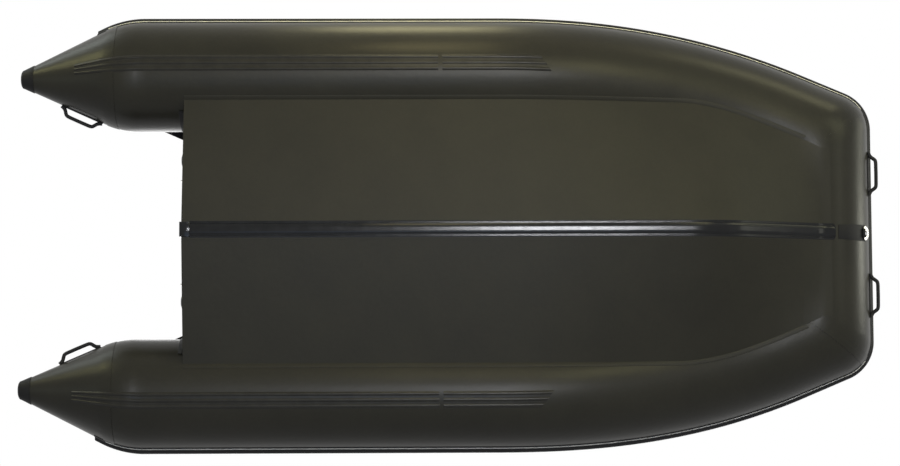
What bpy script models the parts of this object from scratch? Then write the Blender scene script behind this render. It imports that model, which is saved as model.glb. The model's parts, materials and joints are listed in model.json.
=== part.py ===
"""Inflatable V-hull dinghy with a rigid transom: +X towards the bow, +Y to port, +Z up.

Stations are distances forward of the stern cones' tips. The origin lies midway between the cones' tips
and the bow handles, at the level of the keel guard's flat underside. Angles round a tube start at its
outboard (or forward) side and rise over its top, so 90 is the top, 180 inboard and 270 the underside.
"""

import math
from collections import namedtuple

import bmesh
import bpy
from mathutils import Matrix, Vector

PORT = 1
STARBOARD = -1
SIDE_NAMES = {"port": PORT, "starboard": STARBOARD}
UP = Vector((0.0, 0.0, 1.0))
FORWARD = Vector((1.0, 0.0, 0.0))
SIDEWAYS = Vector((0.0, 1.0, 0.0))

# Fits and coated fabric
GAP = 0.0003
SLIP = 0.0004
FABRIC = 0.0012
CUT_OVERRUN = 0.010
SHARP_EDGE = math.radians(32)

# Air tubes
TUBE_RADIUS = 0.210
TUBE_SIDES = 24
HALF_SPACING = 0.608
KEEL_DEPTH = 0.062
BOW_RISE = 0.120
BEND_START = 1.800
BEND_LENGTH = 1.120
BEND_ANGLE = math.radians(22.5)
BEND_EASE = 1.3
BEND_STEPS = 6
MITRE_RUN = 0.160
CORNER_RADIUS = 0.150
CORNER_STEPS = 3
CREASE_STEP = 0.006

# Stern cones and their moulded tips
TIP_STATION = 0.012
TIP_RADIUS = 0.033
CONE_ANGLE = math.radians(25.6)
SHOULDER_RADIUS = 0.349
SEAM_STATION = 0.345
SHOULDER_STEPS = 2
TIP_TOE = 0.018
TIP_DROP = 0.060
CAP_WALL = 0.0025
CAP_LENGTH = 0.050
CAP_NOSE_SHARES = ((0.0, 0.50), (0.33, 0.86), (1.0, 1.0))

# Bulkheads between the air chambers
BULKHEAD_STATION = 1.740
BULKHEAD_DISH = 0.035
BULKHEAD_MIDDLE_SHARE = 0.42

# Bottom skin and keel
SEAM_OFFSET = 0.498
SEAM_LIMIT = 260.0
SEAM_END_OFFSET = 0.320
KEEL_FLAT_HALF = 0.031
GUARD_THICKNESS = 0.0055
GUARD_EDGE = 0.002
GUARD_SOLE_HALF = 0.017
GUARD_START = 0.662
KEEL_SWEEP = math.radians(24)
KEEL_BEND_RADIUS = 0.500
KEEL_STEPS = 3
ROW_SPACING = 0.2
SEAM_LIFT = 0.0004
SKIN_LAP = 0.032
GUARD_LAP = 0.050
END_CAP_AFT = 0.007
END_CAP_HEIGHT = 0.046
END_CAP_WALL = 0.005
END_CAP_HALF = 0.028

# Transom board
TRANSOM_STATION = 0.630
TRANSOM_THICKNESS = 0.036
TRANSOM_TOP = 0.448
NOTCH_TOP = 0.400
NOTCH_HALF = 0.170
NOTCH_RAMP = 0.060
BOARD_FOOT_ANGLE = 235.0
HOLDER_START = 225.0
HOLDER_STEPS = 5
HOLDER_WALL = 0.004
HOLDER_LIP = 0.024
HOLDER_LIP_WALL = 0.005
HOLDER_FLANGE = 0.022
KNEE_LENGTH = 0.160
KNEE_WIDTH = 0.075
KNEE_WALL = 0.004
KNEE_LEVEL = 0.400
PAD_HALF = 0.140
PAD_HEIGHT = 0.170
PAD_WALL = 0.004
PAD_DROP = 0.012
PAD_CORNER = 0.018

# Fittings through the transom
EYE_OFFSET = 0.195
EYE_LEVEL = 0.150
EYE_HALF = 0.010
EYE_ROD = 0.003
EYE_STAND = 0.001
EYE_PLATE = 0.0025
EYE_PLATE_HALF = 0.010
EYE_PLATE_LENGTH = 0.044
DRAIN_OFFSET = 0.265
DRAIN_LEVEL = 0.092
DRAIN_FLANGE = 0.026
DRAIN_STAND = 0.007
DRAIN_SLEEVE = 0.014
DRAIN_BORE = 0.0105
DRAIN_END = 0.002
PLUG_HEAD = 0.018
PLUG_HEAD_HEIGHT = 0.008
PLUG_LENGTH = 0.030
PLUG_TAB_RADIUS = 0.007
PLUG_TAB_HEIGHT = 0.012

# Wear strips
STRIP_ANGLE = 279.6
STRIP_RIB_SPACING = 8.4
STRIP_RIB_HALF = 0.9
STRIP_HALF = 9.8
STRIP_BASE = 0.0015
STRIP_RIB = 0.0045
STRIP_STATIONS = {"aft": (0.215, 1.596), "forward": (1.606, 2.030)}
STRIP_SLANT = 0.042

# Rub strakes
STRAKE_START = 0.288
STRAKE_HALF = 17.0
STRAKE_SHOULDER = 9.0
STRAKE_CREST = 6.5
BOW_STRAKE_HALF = 10.0
STRAKE_BASE = 0.0025
STRAKE_STAND = 0.010

# Moulded handles
HANDLE_LENGTH = 0.173
HANDLE_HEIGHT = 0.050
HANDLE_DEPTH = 0.016
HANDLE_PAD = 0.004
HANDLE_PAD_HALF = 0.015
HANDLE_PAD_SHARES = ((-1.0, 0.12), (-0.76, 1.0), (0.76, 1.0), (1.0, 0.12))
HANDLE_OUTER_SHARES = (
    (-0.74, 0.0), (-0.76, 0.10), (-0.60, 0.20), (-0.55, 0.78), (-0.44, 1.0),
    (0.44, 1.0), (0.55, 0.78), (0.60, 0.20), (0.76, 0.10), (0.74, 0.0),
)
HANDLE_SLOT_SHARES = (
    (-0.40, 0.15), (-0.43, 0.19), (-0.43, 0.30), (-0.42, 0.58), (-0.37, 0.68),
    (0.37, 0.68), (0.42, 0.58), (0.43, 0.30), (0.43, 0.19), (0.40, 0.15),
)
BOW_HANDLE_OFFSET = 0.235
BOW_HANDLE_ANGLE = 345.0
STERN_HANDLE_STATION = 0.237
STERN_HANDLE_ANGLE = 180.0

# Bow tow ring
RING_PATCH_ANGLES = (287.0, 328.0)
RING_PATCH_HALF = 0.029
RING_PATCH_WALL = 0.003
RING_ANGLE = 322.5
RING_ROD = 0.003
RING_HALF = 0.026
RING_DEPTH = 0.036
KEEPER_RADIUS = 0.0066
KEEPER_HALF = 0.017
KEEPER_SINK = 0.0015

# Floor
FLOOR_TOP = 0.135
BOARD = 0.012
FLOOR_AFT = 0.700
FLOOR_SPLIT = 1.500
FLOOR_KINK = 2.300
FLOOR_BOW = 2.840
FLOOR_SLOPE = math.radians(9)
BOARD_CLEARANCE = 0.004
JOINER_WEB = 0.003
JOINER_FLANGE = 0.014
JOINER_WALL = 0.0015
JOINER_INSET = 0.020
BOW_BOARD_STEPS = 4

# Inflatable keel
KEEL_TUBE_START = 0.720
KEEL_TUBE_END = 2.820
KEEL_TUBE_HALF = 0.062
KEEL_TUBE_SHARES = ((0.53, 1.0), (0.89, 0.82), (1.0, 0.5), (0.81, 0.2), (0.40, 0.0))
KEEL_TUBE_NOSE_SHARE = 0.55

# Air valves
VALVE_FLANGE = 0.026
VALVE_FLANGE_WALL = 0.005
VALVE_BODY = 0.0172
VALVE_DEPTH = 0.022
VALVE_BORE = 0.0105
VALVE_CAP = 0.021
VALVE_CAP_HEIGHT = 0.010
VALVE_CAP_CHAMFER = 0.003
VALVE_STEM = 0.0095
VALVE_STEM_DEPTH = 0.006
VALVE_SIDES = 20
VALVE_ANGLE = 157.5
SIDE_VALVE_STATION = 0.800
KEEL_VALVE_STATION = 2.100
VALVE_HATCH = 0.031

# Bench seats on their tracks
TRACK_ANGLE = 127.5
TRACK_START = 0.780
TRACK_END = 1.780
TRACK_HALF = 0.018
TRACK_WALL = 0.002
TRACK_BEAD_HALF = 0.004
TRACK_BEAD = 0.010
HOOK_HALF = 0.014
HOOK_LENGTH = 0.180
HOOK_ROOF = 0.004
BENCH_STATION = 1.250
BENCH_SINK = 0.001
BENCH_WIDTH = 0.220
BENCH_HALF = 0.497
BENCH_WALL = 0.022
BENCH_CORNER = 0.030

# Rowlocks
ROWLOCK_STATION = 1.320
ROWLOCK_ANGLE = 97.5
ROWLOCK_PATCH_HALF = 0.052
ROWLOCK_PATCH_SPAN = 13.5
ROWLOCK_PATCH_WALL = 0.003
SOCKET_FOOT = 0.024
SOCKET_RADIUS = 0.015
SOCKET_FOOT_HEIGHT = 0.006
SOCKET_HEIGHT = 0.036
SOCKET_BORE = 0.0070
SOCKET_BOTTOM = 0.006
PIN_RADIUS = 0.0065
COLLAR_RADIUS = 0.012
COLLAR_HEIGHT = 0.006
HORN_ROD = 0.006
HORN_HALF = 0.028
HORN_HEIGHT = 0.075
HORN_STEPS = 8


def bend_path():
    """Stations, offsets and headings along the side tubes' bend, which tightens towards the bow."""
    chord = BEND_LENGTH / BEND_STEPS
    found = [(BEND_START, HALF_SPACING, 0.0)]
    for step in range(BEND_STEPS):
        middle = BEND_ANGLE * ((step + 0.5) / BEND_STEPS) ** BEND_EASE
        heading = BEND_ANGLE * ((step + 1) / BEND_STEPS) ** BEND_EASE
        station, offset, _ = found[-1]
        found.append((station + chord * math.cos(middle), offset - chord * math.sin(middle), heading))
    return found


# Sizes that follow from those above
BEND_PATH = bend_path()
TUBE_LEVEL = KEEL_DEPTH + TUBE_RADIUS
BOW_LEVEL = TUBE_LEVEL + BOW_RISE
FACET = 360.0 / TUBE_SIDES
CORNER_ANGLE = (math.pi / 2 - BEND_ANGLE) / 2
SHOULDER_LEAD = SHOULDER_RADIUS * (1 - math.cos(CONE_ANGLE))
SHOULDER_START = TIP_STATION + (TUBE_RADIUS - SHOULDER_LEAD - TIP_RADIUS) / math.tan(CONE_ANGLE)
SHOULDER_END = SHOULDER_START + SHOULDER_RADIUS * math.sin(CONE_ANGLE)
BOW_STATION = BEND_PATH[-1][0] + MITRE_RUN * math.cos(BEND_ANGLE)
BOW_OFFSET = BEND_PATH[-1][1] - MITRE_RUN * math.sin(BEND_ANGLE)
HANDLE_REACH = TUBE_RADIUS + GAP + HANDLE_PAD + HANDLE_HEIGHT
HANDLE_DIP = math.radians(360.0 - BOW_HANDLE_ANGLE)
OVERALL = BOW_STATION + HANDLE_REACH * math.cos(HANDLE_DIP) + HANDLE_DEPTH / 2 * math.sin(HANDLE_DIP)
STERN = -OVERALL / 2
SKIN_LEVEL = GUARD_THICKNESS + GAP + FABRIC
KEEL_CLIMB = KEEL_DEPTH + BOW_RISE - SKIN_LEVEL - GAP
KEEL_BEND_RUN = KEEL_BEND_RADIUS * math.sin(KEEL_SWEEP)
KEEL_BEND_CLIMB = KEEL_BEND_RADIUS * (1 - math.cos(KEEL_SWEEP))
KEEL_RISE_START = BOW_STATION - KEEL_BEND_RUN - (KEEL_CLIMB - KEEL_BEND_CLIMB) / math.tan(KEEL_SWEEP)
LAP_SLOPE = math.tan(math.radians(FACET / 2))
FLOOR_UNDER = FLOOR_TOP - BOARD

Section = namedtuple("Section", "centre out up wide high")


def material(name, colour, roughness, metallic=0.0):
    """A plain finish for one kind of piece."""
    finish = bpy.data.materials.new(name)
    finish.use_nodes = True
    shader = finish.node_tree.nodes["Principled BSDF"]
    shader.inputs["Base Color"].default_value = (*colour, 1.0)
    shader.inputs["Roughness"].default_value = roughness
    shader.inputs["Metallic"].default_value = metallic
    return finish


def make_finishes():
    """The finishes, by the name that the pieces use."""
    return {
        "tube_fabric": material("tube_fabric", (0.030, 0.029, 0.022), 0.42),
        "bottom_fabric": material("bottom_fabric", (0.024, 0.024, 0.020), 0.45),
        "moulded_rubber": material("moulded_rubber", (0.012, 0.012, 0.013), 0.50),
        "keel_rubber": material("keel_rubber", (0.020, 0.020, 0.022), 0.25),
        "inner_fabric": material("inner_fabric", (0.20, 0.20, 0.19), 0.60),
        "plywood": material("plywood", (0.30, 0.19, 0.10), 0.50),
        "painted_ply": material("painted_ply", (0.045, 0.046, 0.048), 0.45),
        "aluminium": material("aluminium", (0.60, 0.61, 0.62), 0.35, 1.0),
        "stainless": material("stainless", (0.62, 0.61, 0.59), 0.20, 1.0),
        "black_plastic": material("black_plastic", (0.020, 0.020, 0.021), 0.40),
        "grey_plastic": material("grey_plastic", (0.16, 0.165, 0.17), 0.45),
    }


def piece(name, bm, finish, pivot=None):
    """Makes an object of the mesh, with its origin at the pivot, and hangs it on the boat's empty."""
    origin = pivot if pivot is not None else Vector((0.0, 0.0, 0.0))
    bmesh.ops.recalc_face_normals(bm, faces=bm.faces)
    if bm.calc_volume(signed=True) < 0:
        bmesh.ops.reverse_faces(bm, faces=bm.faces)
    bmesh.ops.translate(bm, verts=bm.verts, vec=-origin)
    mesh = bpy.data.meshes.new(name)
    bm.to_mesh(mesh)
    bm.free()
    mesh.shade_smooth()
    mesh.set_sharp_from_angle(angle=SHARP_EDGE)
    mesh.materials.append(FINISHES[finish])
    made = bpy.data.objects.new(name, mesh)
    made.location = origin
    made.parent = BOAT
    bpy.context.scene.collection.objects.link(made)
    return made


def combine(target, tool_mesh, name, operation):
    """Cuts or joins a guide shape, which isn't a piece itself, into the target."""
    tool = piece(name, tool_mesh, "aluminium")
    tool.hide_render = True
    tool.display_type = "WIRE"
    change = target.modifiers.new(name, "BOOLEAN")
    change.operation = operation
    change.solver = "EXACT"
    change.object = tool


def loft(bm, rings, closed=False):
    """Joins rings of equal counts with faces. An open loft has its two ends filled."""
    loops = [[bm.verts.new(point) for point in ring] for ring in rings]
    pairs = list(zip(loops, loops[1:]))
    if closed:
        pairs.append((loops[-1], loops[0]))
    for one, two in pairs:
        for index in range(len(one)):
            after = (index + 1) % len(one)
            bm.faces.new((one[index], one[after], two[after], two[index]))
    if not closed:
        bm.faces.new(loops[0])
        bm.faces.new(loops[-1])


def frame(origin, along, normal):
    """A placing matrix: local x lies along, local z on the normal."""
    along = along.normalized()
    across = normal.cross(along).normalized()
    upright = along.cross(across)
    turn = Matrix((along, across, upright)).transposed()
    return Matrix.Translation(origin) @ turn.to_4x4()


def turned(bm, profile, place, sides, closed=False):
    """A round piece about the place's z axis, from (radius, height) pairs."""
    rings = []
    for radius, height in profile:
        ring = []
        for step in range(sides):
            angle = 2 * math.pi * (step + 0.5) / sides
            ring.append(place @ Vector((radius * math.cos(angle), radius * math.sin(angle), height)))
        rings.append(ring)
    loft(bm, rings, closed)


def prism(bm, outline, place, low, high):
    """An outline in the place's xy plane, drawn out from low to high along its z axis."""
    loft(bm, [[place @ Vector((x, y, level)) for x, y in outline] for level in (low, high)])


def hollow_prism(bm, outer, inner, place, low, high):
    """A prism with a hole right through. Both outlines have the same number of points."""
    levels = ((outer, low), (outer, high), (inner, high), (inner, low))
    loft(bm, [[place @ Vector((x, y, level)) for x, y in outline] for outline, level in levels], closed=True)


def rod(bm, path, plane_normal, radius, sides, closed=False):
    """A round bar along a flat path."""
    rings = []
    count = len(path)
    for index, point in enumerate(path):
        before = path[(index - 1) % count] if closed or index > 0 else point
        after = path[(index + 1) % count] if closed or index < count - 1 else point
        across = plane_normal.cross((after - before).normalized()).normalized()
        ring = []
        for step in range(sides):
            angle = 2 * math.pi * (step + 0.5) / sides
            ring.append(point + radius * (across * math.cos(angle) + plane_normal * math.sin(angle)))
        rings.append(ring)
    loft(bm, rings, closed)


def box(bm, low, high):
    """A block between two corners."""
    rings = []
    for x in (low[0], high[0]):
        rings.append([Vector((x, y, z)) for y, z in
                      ((low[1], low[2]), (high[1], low[2]), (high[1], high[2]), (low[1], high[2]))])
    loft(bm, rings)


def cone_radius(station):
    """Radius of the cone and its shoulder at a station."""
    if station <= SHOULDER_START:
        return TIP_RADIUS + (station - TIP_STATION) * math.tan(CONE_ANGLE)
    lead = max(SHOULDER_END - station, 0.0)
    return TUBE_RADIUS - SHOULDER_RADIUS + math.sqrt(SHOULDER_RADIUS ** 2 - lead ** 2)


def upright_section(side, station, radius):
    """A round section of a cone or of a straight tube, square to X."""
    share = max(SHOULDER_END - station, 0.0) / SHOULDER_END
    centre = Vector((
        STERN + station,
        side * (HALF_SPACING - TIP_TOE * share),
        TUBE_LEVEL - TIP_DROP * share,
    ))
    return Section(centre, SIDEWAYS * side, UP, radius, radius)


def corner_section(corner, along, out, step):
    """A slanting section near the mitre: step 0 is where the outer rounding starts, the last is the mitre."""
    turn = CORNER_ANGLE * step / CORNER_STEPS
    slack = CREASE_STEP * (CORNER_STEPS - step)
    inner = corner - along * (TUBE_RADIUS * math.tan(CORNER_ANGLE) + slack) - out * TUBE_RADIUS
    reach = (TUBE_RADIUS - CORNER_RADIUS) * math.tan(CORNER_ANGLE) + CORNER_RADIUS * math.sin(turn)
    outer = corner + along * reach + out * (TUBE_RADIUS - CORNER_RADIUS + CORNER_RADIUS * math.cos(turn))
    across = outer - inner
    return Section((outer + inner) / 2, across.normalized(), UP, across.length / 2, TUBE_RADIUS)


def corner_point(side):
    """Where the axes of a side tube and the bow tube cross."""
    return Vector((STERN + BOW_STATION, side * BOW_OFFSET, BOW_LEVEL))


def side_sections(side):
    """Sections of one side from the cone's tip to the mitre at the bow."""
    found = [upright_section(side, TIP_STATION, TIP_RADIUS)]
    stations = [SHOULDER_START, SEAM_STATION]
    for step in range(1, SHOULDER_STEPS + 1):
        stations.append(SEAM_STATION + (SHOULDER_END - SEAM_STATION) * step / SHOULDER_STEPS)
    for station in stations + [BEND_START]:
        found.append(upright_section(side, station, cone_radius(station)))
    for step, (station, offset, turn) in enumerate(BEND_PATH[1:], 1):
        share = step / BEND_STEPS
        level = TUBE_LEVEL + BOW_RISE * (1 - math.cos(math.pi * share)) / 2
        centre = Vector((STERN + station, side * offset, level))
        climb = BOW_RISE * math.pi / 2 * math.sin(math.pi * share)
        pitch = math.atan(climb / BEND_LENGTH)
        out = Vector((math.sin(turn), side * math.cos(turn), 0.0))
        up = Vector((
            -math.sin(pitch) * math.cos(turn),
            side * math.sin(pitch) * math.sin(turn),
            math.cos(pitch),
        ))
        found.append(Section(centre, out, up, TUBE_RADIUS, TUBE_RADIUS))
    along = Vector((math.cos(BEND_ANGLE), -side * math.sin(BEND_ANGLE), 0.0))
    out = Vector((math.sin(BEND_ANGLE), side * math.cos(BEND_ANGLE), 0.0))
    for step in range(CORNER_STEPS + 1):
        found.append(corner_section(corner_point(side), along, out, step))
    return found


def bow_sections():
    """Sections of the bow tube from the port mitre to the starboard mitre."""
    port = [corner_section(corner_point(PORT), SIDEWAYS, FORWARD, step) for step in range(CORNER_STEPS + 1)]
    starboard = [corner_section(corner_point(STARBOARD), -SIDEWAYS, FORWARD, step)
                 for step in range(CORNER_STEPS + 1)]
    return port[::-1] + starboard


def on_section(section, angle, lift=0.0):
    """A point over the flat-sided section, lifted square to its flat."""
    spread = lift / math.cos(math.radians(FACET / 2))
    corner = math.floor(angle / FACET)
    share = angle / FACET - corner
    ends = []
    for index in (corner, corner + 1):
        turn = math.radians(index * FACET)
        ends.append(
            section.centre
            + section.out * ((section.wide + spread) * math.cos(turn))
            + section.up * ((section.high + spread) * math.sin(turn))
        )
    return ends[0].lerp(ends[1], share)


def on_tube(sections, run, angle, lift=0.0):
    """A point over a tube's skin. The run counts sections, and fractions lie between two of them."""
    first = min(int(math.floor(run)), len(sections) - 2)
    one = on_section(sections[first], angle, lift)
    two = on_section(sections[first + 1], angle, lift)
    return one.lerp(two, run - first)


def run_at(sections, station):
    """The run where a side tube's axis reaches a station."""
    x = STERN + station
    for index in range(len(sections) - 1):
        low = sections[index].centre.x
        high = sections[index + 1].centre.x
        if x <= high:
            return index + (x - low) / (high - low)
    return len(sections) - 1


def run_for(sections, first, angle, axis, value):
    """The run between two sections where the skin at an angle reaches a coordinate."""
    one = on_section(sections[first], angle)[axis]
    two = on_section(sections[first + 1], angle)[axis]
    return first + (value - one) / (two - one)


def runs_between(first, last):
    """Both ends and every section between them."""
    between = [run for run in range(math.floor(first) + 1, math.ceil(last)) if first < run < last]
    return [first] + between + [last]


def seat(sections, run, angle):
    """A placing matrix on a tube's skin: x along the tube, z outwards."""
    step = 0.01
    turn = 1.0
    origin = on_tube(sections, run, angle)
    along = on_tube(sections, run + step, angle) - on_tube(sections, run - step, angle)
    across = on_tube(sections, run, angle + turn) - on_tube(sections, run, angle - turn)
    normal = along.cross(across)
    if normal.dot(origin - sections[round(run)].centre) < 0:
        normal = -normal
    return frame(origin, along, normal)


def with_corners(profile):
    """Adds the tube's own corners to a strip's (angle, thickness) profile."""
    full = []
    for (angle, wall), (next_angle, next_wall) in zip(profile, profile[1:]):
        full.append((angle, wall))
        corner = (math.floor(angle / FACET) + 1) * FACET
        while corner < next_angle:
            share = (corner - angle) / (next_angle - angle)
            full.append((corner, wall + (next_wall - wall) * share))
            corner += FACET
    full.append(profile[-1])
    return full


def strip(bm, sections, runs, profile, lift=GAP, end_runs=None):
    """A strip glued along a tube. end_runs gives the last ring's run at each angle, for a slanting end."""
    full = with_corners(profile)
    rings = []
    for run in runs:
        slanted = end_runs is not None and run == runs[-1]
        under = [on_tube(sections, end_runs(a) if slanted else run, a, lift) for a, _ in full]
        over = [on_tube(sections, end_runs(a) if slanted else run, a, lift + wall) for a, wall in full]
        rings.append(under + over[::-1])
    loft(bm, rings)


def skin_ring(section, lift=0.0):
    """All the corners of a tube's section."""
    return [on_section(section, step * FACET, lift) for step in range(TUBE_SIDES)]


def eased(sections):
    """The same sections with both ends drawn in by half a gap, to clear the next panel."""
    first = sections[0].centre + (sections[1].centre - sections[0].centre).normalized() * GAP
    last = sections[-1].centre + (sections[-2].centre - sections[-1].centre).normalized() * GAP
    return [sections[0]._replace(centre=first)] + sections[1:-1] + [sections[-1]._replace(centre=last)]


def open_tube(name, sections):
    """A fabric tube, open at both ends."""
    bm = bmesh.new()
    trimmed = eased(sections)
    rings = [skin_ring(section) for section in trimmed]
    rings += [skin_ring(section, -FABRIC) for section in reversed(trimmed)]
    loft(bm, rings, closed=True)
    return piece(name, bm, "tube_fabric")


def valve_hole(tube, place, name):
    """Opens the tube's wall for a valve body."""
    bm = bmesh.new()
    radius = VALVE_BODY + SLIP
    turned(bm, ((radius, -CUT_OVERRUN), (radius, CUT_OVERRUN)), place, VALVE_SIDES)
    combine(tube, bm, name, "DIFFERENCE")


def make_valve(name, place):
    """A valve body in its hole, and the bayonet cap on it."""
    bm = bmesh.new()
    profile = (
        (VALVE_BORE, VALVE_FLANGE_WALL),
        (VALVE_FLANGE - VALVE_CAP_CHAMFER, VALVE_FLANGE_WALL),
        (VALVE_FLANGE, VALVE_FLANGE_WALL / 2),
        (VALVE_FLANGE, GAP),
        (VALVE_BODY, GAP),
        (VALVE_BODY, -VALVE_DEPTH),
        (VALVE_BORE, -VALVE_DEPTH),
    )
    turned(bm, profile, place, VALVE_SIDES, closed=True)
    piece(name + "_valve", bm, "grey_plastic")
    bm = bmesh.new()
    seat_level = VALVE_FLANGE_WALL + GAP
    top = seat_level + VALVE_CAP_HEIGHT
    profile = (
        (VALVE_CAP - VALVE_CAP_CHAMFER, top),
        (VALVE_CAP, top - VALVE_CAP_CHAMFER),
        (VALVE_CAP, seat_level),
        (VALVE_STEM, seat_level),
        (VALVE_STEM, seat_level - VALVE_STEM_DEPTH),
    )
    turned(bm, profile, place, VALVE_SIDES)
    piece(name + "_valve_cap", bm, "black_plastic", pivot=place @ Vector((0.0, 0.0, seat_level)))


def make_cones():
    """The stern cones, each a fabric shell closed at its tip, and the moulded tips over them."""
    for name, side in SIDE_NAMES.items():
        bm = bmesh.new()
        outer = [upright_section(side, station, cone_radius(station))
                 for station in (TIP_STATION, SHOULDER_START, SEAM_STATION - GAP)]
        inner = [upright_section(side, station, cone_radius(station))
                 for station in (TIP_STATION + FABRIC, SHOULDER_START, SEAM_STATION - GAP)]
        rings = [skin_ring(section) for section in outer]
        rings += [skin_ring(section, -FABRIC) for section in reversed(inner)]
        loft(bm, rings)
        piece(name + "_cone", bm, "tube_fabric")
    for name, side in SIDE_NAMES.items():
        bm = bmesh.new()
        rings = []
        nose_radius = TIP_RADIUS + CAP_WALL
        for length_share, radius_share in CAP_NOSE_SHARES:
            section = upright_section(side, TIP_STATION * length_share, nose_radius * radius_share)
            rings.append(skin_ring(section))
        rings.append(skin_ring(upright_section(side, CAP_LENGTH, cone_radius(CAP_LENGTH)), CAP_WALL))
        rings.append(skin_ring(upright_section(side, CAP_LENGTH, cone_radius(CAP_LENGTH)), GAP))
        rings.append(skin_ring(upright_section(side, TIP_STATION - GAP, TIP_RADIUS), GAP))
        loft(bm, rings)
        piece(name + "_cone_tip", bm, "moulded_rubber")


def make_bulkheads():
    """Dished fabric discs that part each aft chamber from the bow chamber."""
    radius = TUBE_RADIUS - FABRIC - GAP
    for name, side in SIDE_NAMES.items():
        bm = bmesh.new()
        rings = []
        for station, share, back in ((BULKHEAD_DISH, BULKHEAD_MIDDLE_SHARE, 0.0), (0.0, 1.0, 0.0),
                                     (0.0, 1.0, FABRIC), (BULKHEAD_DISH, BULKHEAD_MIDDLE_SHARE, FABRIC)):
            rings.append(skin_ring(upright_section(side, BULKHEAD_STATION + station - back, radius * share)))
        loft(bm, rings)
        piece(name + "_bulkhead", bm, "inner_fabric")


def keel_line(station):
    """Height of the keel guard's underside."""
    if station > BOW_STATION:
        return KEEL_CLIMB + (station - BOW_STATION) * LAP_SLOPE
    run = station - KEEL_RISE_START
    if run <= 0:
        return 0.0
    if run <= KEEL_BEND_RUN:
        return KEEL_BEND_RADIUS - math.sqrt(KEEL_BEND_RADIUS ** 2 - run ** 2)
    return KEEL_BEND_CLIMB + (run - KEEL_BEND_RUN) * math.tan(KEEL_SWEEP)


def seam_angle(sections, run):
    """Where round the tube the bottom skin is glued: straight ahead, then along the tube once it bends in."""
    first = min(int(run), len(sections) - 2)
    middle = sections[first].centre.lerp(sections[first + 1].centre, run - first)
    tilt = abs(sections[first].out.lerp(sections[first + 1].out, run - first).y)
    reach = max(abs(middle.y) - SEAM_OFFSET, 0.0) / tilt
    return min(270.0 - math.degrees(math.asin(min(reach / TUBE_RADIUS, 1.0))), SEAM_LIMIT)


def seam_point(sections, run):
    """A point of the seam between the bottom skin and a side tube."""
    return on_tube(sections, run, seam_angle(sections, run), SEAM_LIFT)


def seam_crossing(sections, angle, low, high):
    """The run where the seam reaches an angle, between two runs."""
    for _ in range(40):
        middle = (low + high) / 2
        if seam_angle(sections, middle) < angle:
            low = middle
        else:
            high = middle
    return high


def skin_runs(sections):
    """Runs of the bottom skin's rows: at the tube's sections, at the corners that the seam crosses, and
    closer together where the keel bends up."""
    bend = run_at(sections, BEND_START)
    last = len(sections) - 1 - CORNER_STEPS
    runs = [run_at(sections, TRANSOM_STATION), run_at(sections, FLOOR_SPLIT)]
    runs += [bend + step for step in range(BEND_STEPS + 1)] + [last]
    first = (math.floor(seam_angle(sections, bend) / FACET) + 1) * FACET
    while first < SEAM_LIMIT:
        runs.append(seam_crossing(sections, first, bend, last))
        first += FACET
    runs.append(seam_crossing(sections, SEAM_LIMIT, bend, last))
    for step in range(KEEL_STEPS + 1):
        run = run_at(sections, KEEL_RISE_START + KEEL_BEND_RUN * step / KEEL_STEPS)
        if min(abs(run - other) for other in runs) > ROW_SPACING:
            runs.append(run)
    return sorted(runs)


def skin_rows(side):
    """Rows of the bottom skin's top face, from the transom to its lap on the bow tube."""
    sections = SIDE_SECTIONS[side]
    rows = []
    for run in skin_runs(sections):
        seam = seam_point(sections, run)
        level = keel_line(seam.x - STERN) + SKIN_LEVEL
        inner = Vector((seam.x, side * GAP, level))
        knuckle = Vector((seam.x, side * KEEL_FLAT_HALF, level))
        rows.append([inner, knuckle, knuckle.lerp(seam, 0.5), seam])
    corner = on_section(BOW_SECTIONS[CORNER_STEPS], 270.0)
    level = BOW_LEVEL - TUBE_RADIUS - GAP
    for lap, slack in ((0.0, GAP), (SKIN_LAP, 3 * GAP)):
        x = STERN + BOW_STATION + lap
        z = level + lap * LAP_SLOPE
        rows.append([Vector((x, side * GAP, z)), Vector((x, side * KEEL_FLAT_HALF, z)),
                     Vector((x, side * corner.y, z - slack)), Vector((x, side * SEAM_END_OFFSET, z - slack))])
    return rows


def make_bottom():
    """The two halves of the V bottom, which meet under the keel guard."""
    for name, side in SIDE_NAMES.items():
        bm = bmesh.new()
        drop = UP * FABRIC
        rings = [row + [point - drop for point in reversed(row)] for row in skin_rows(side)]
        loft(bm, rings)
        # The panel is twisted towards the bow, so both of its faces are split along the same diagonals
        quads = [face for face in bm.faces if len(face.verts) == 4]
        bmesh.ops.triangulate(bm, faces=quads, quad_method="SHORT_EDGE")
        piece(name + "_bottom_skin", bm, "bottom_fabric")


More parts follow.
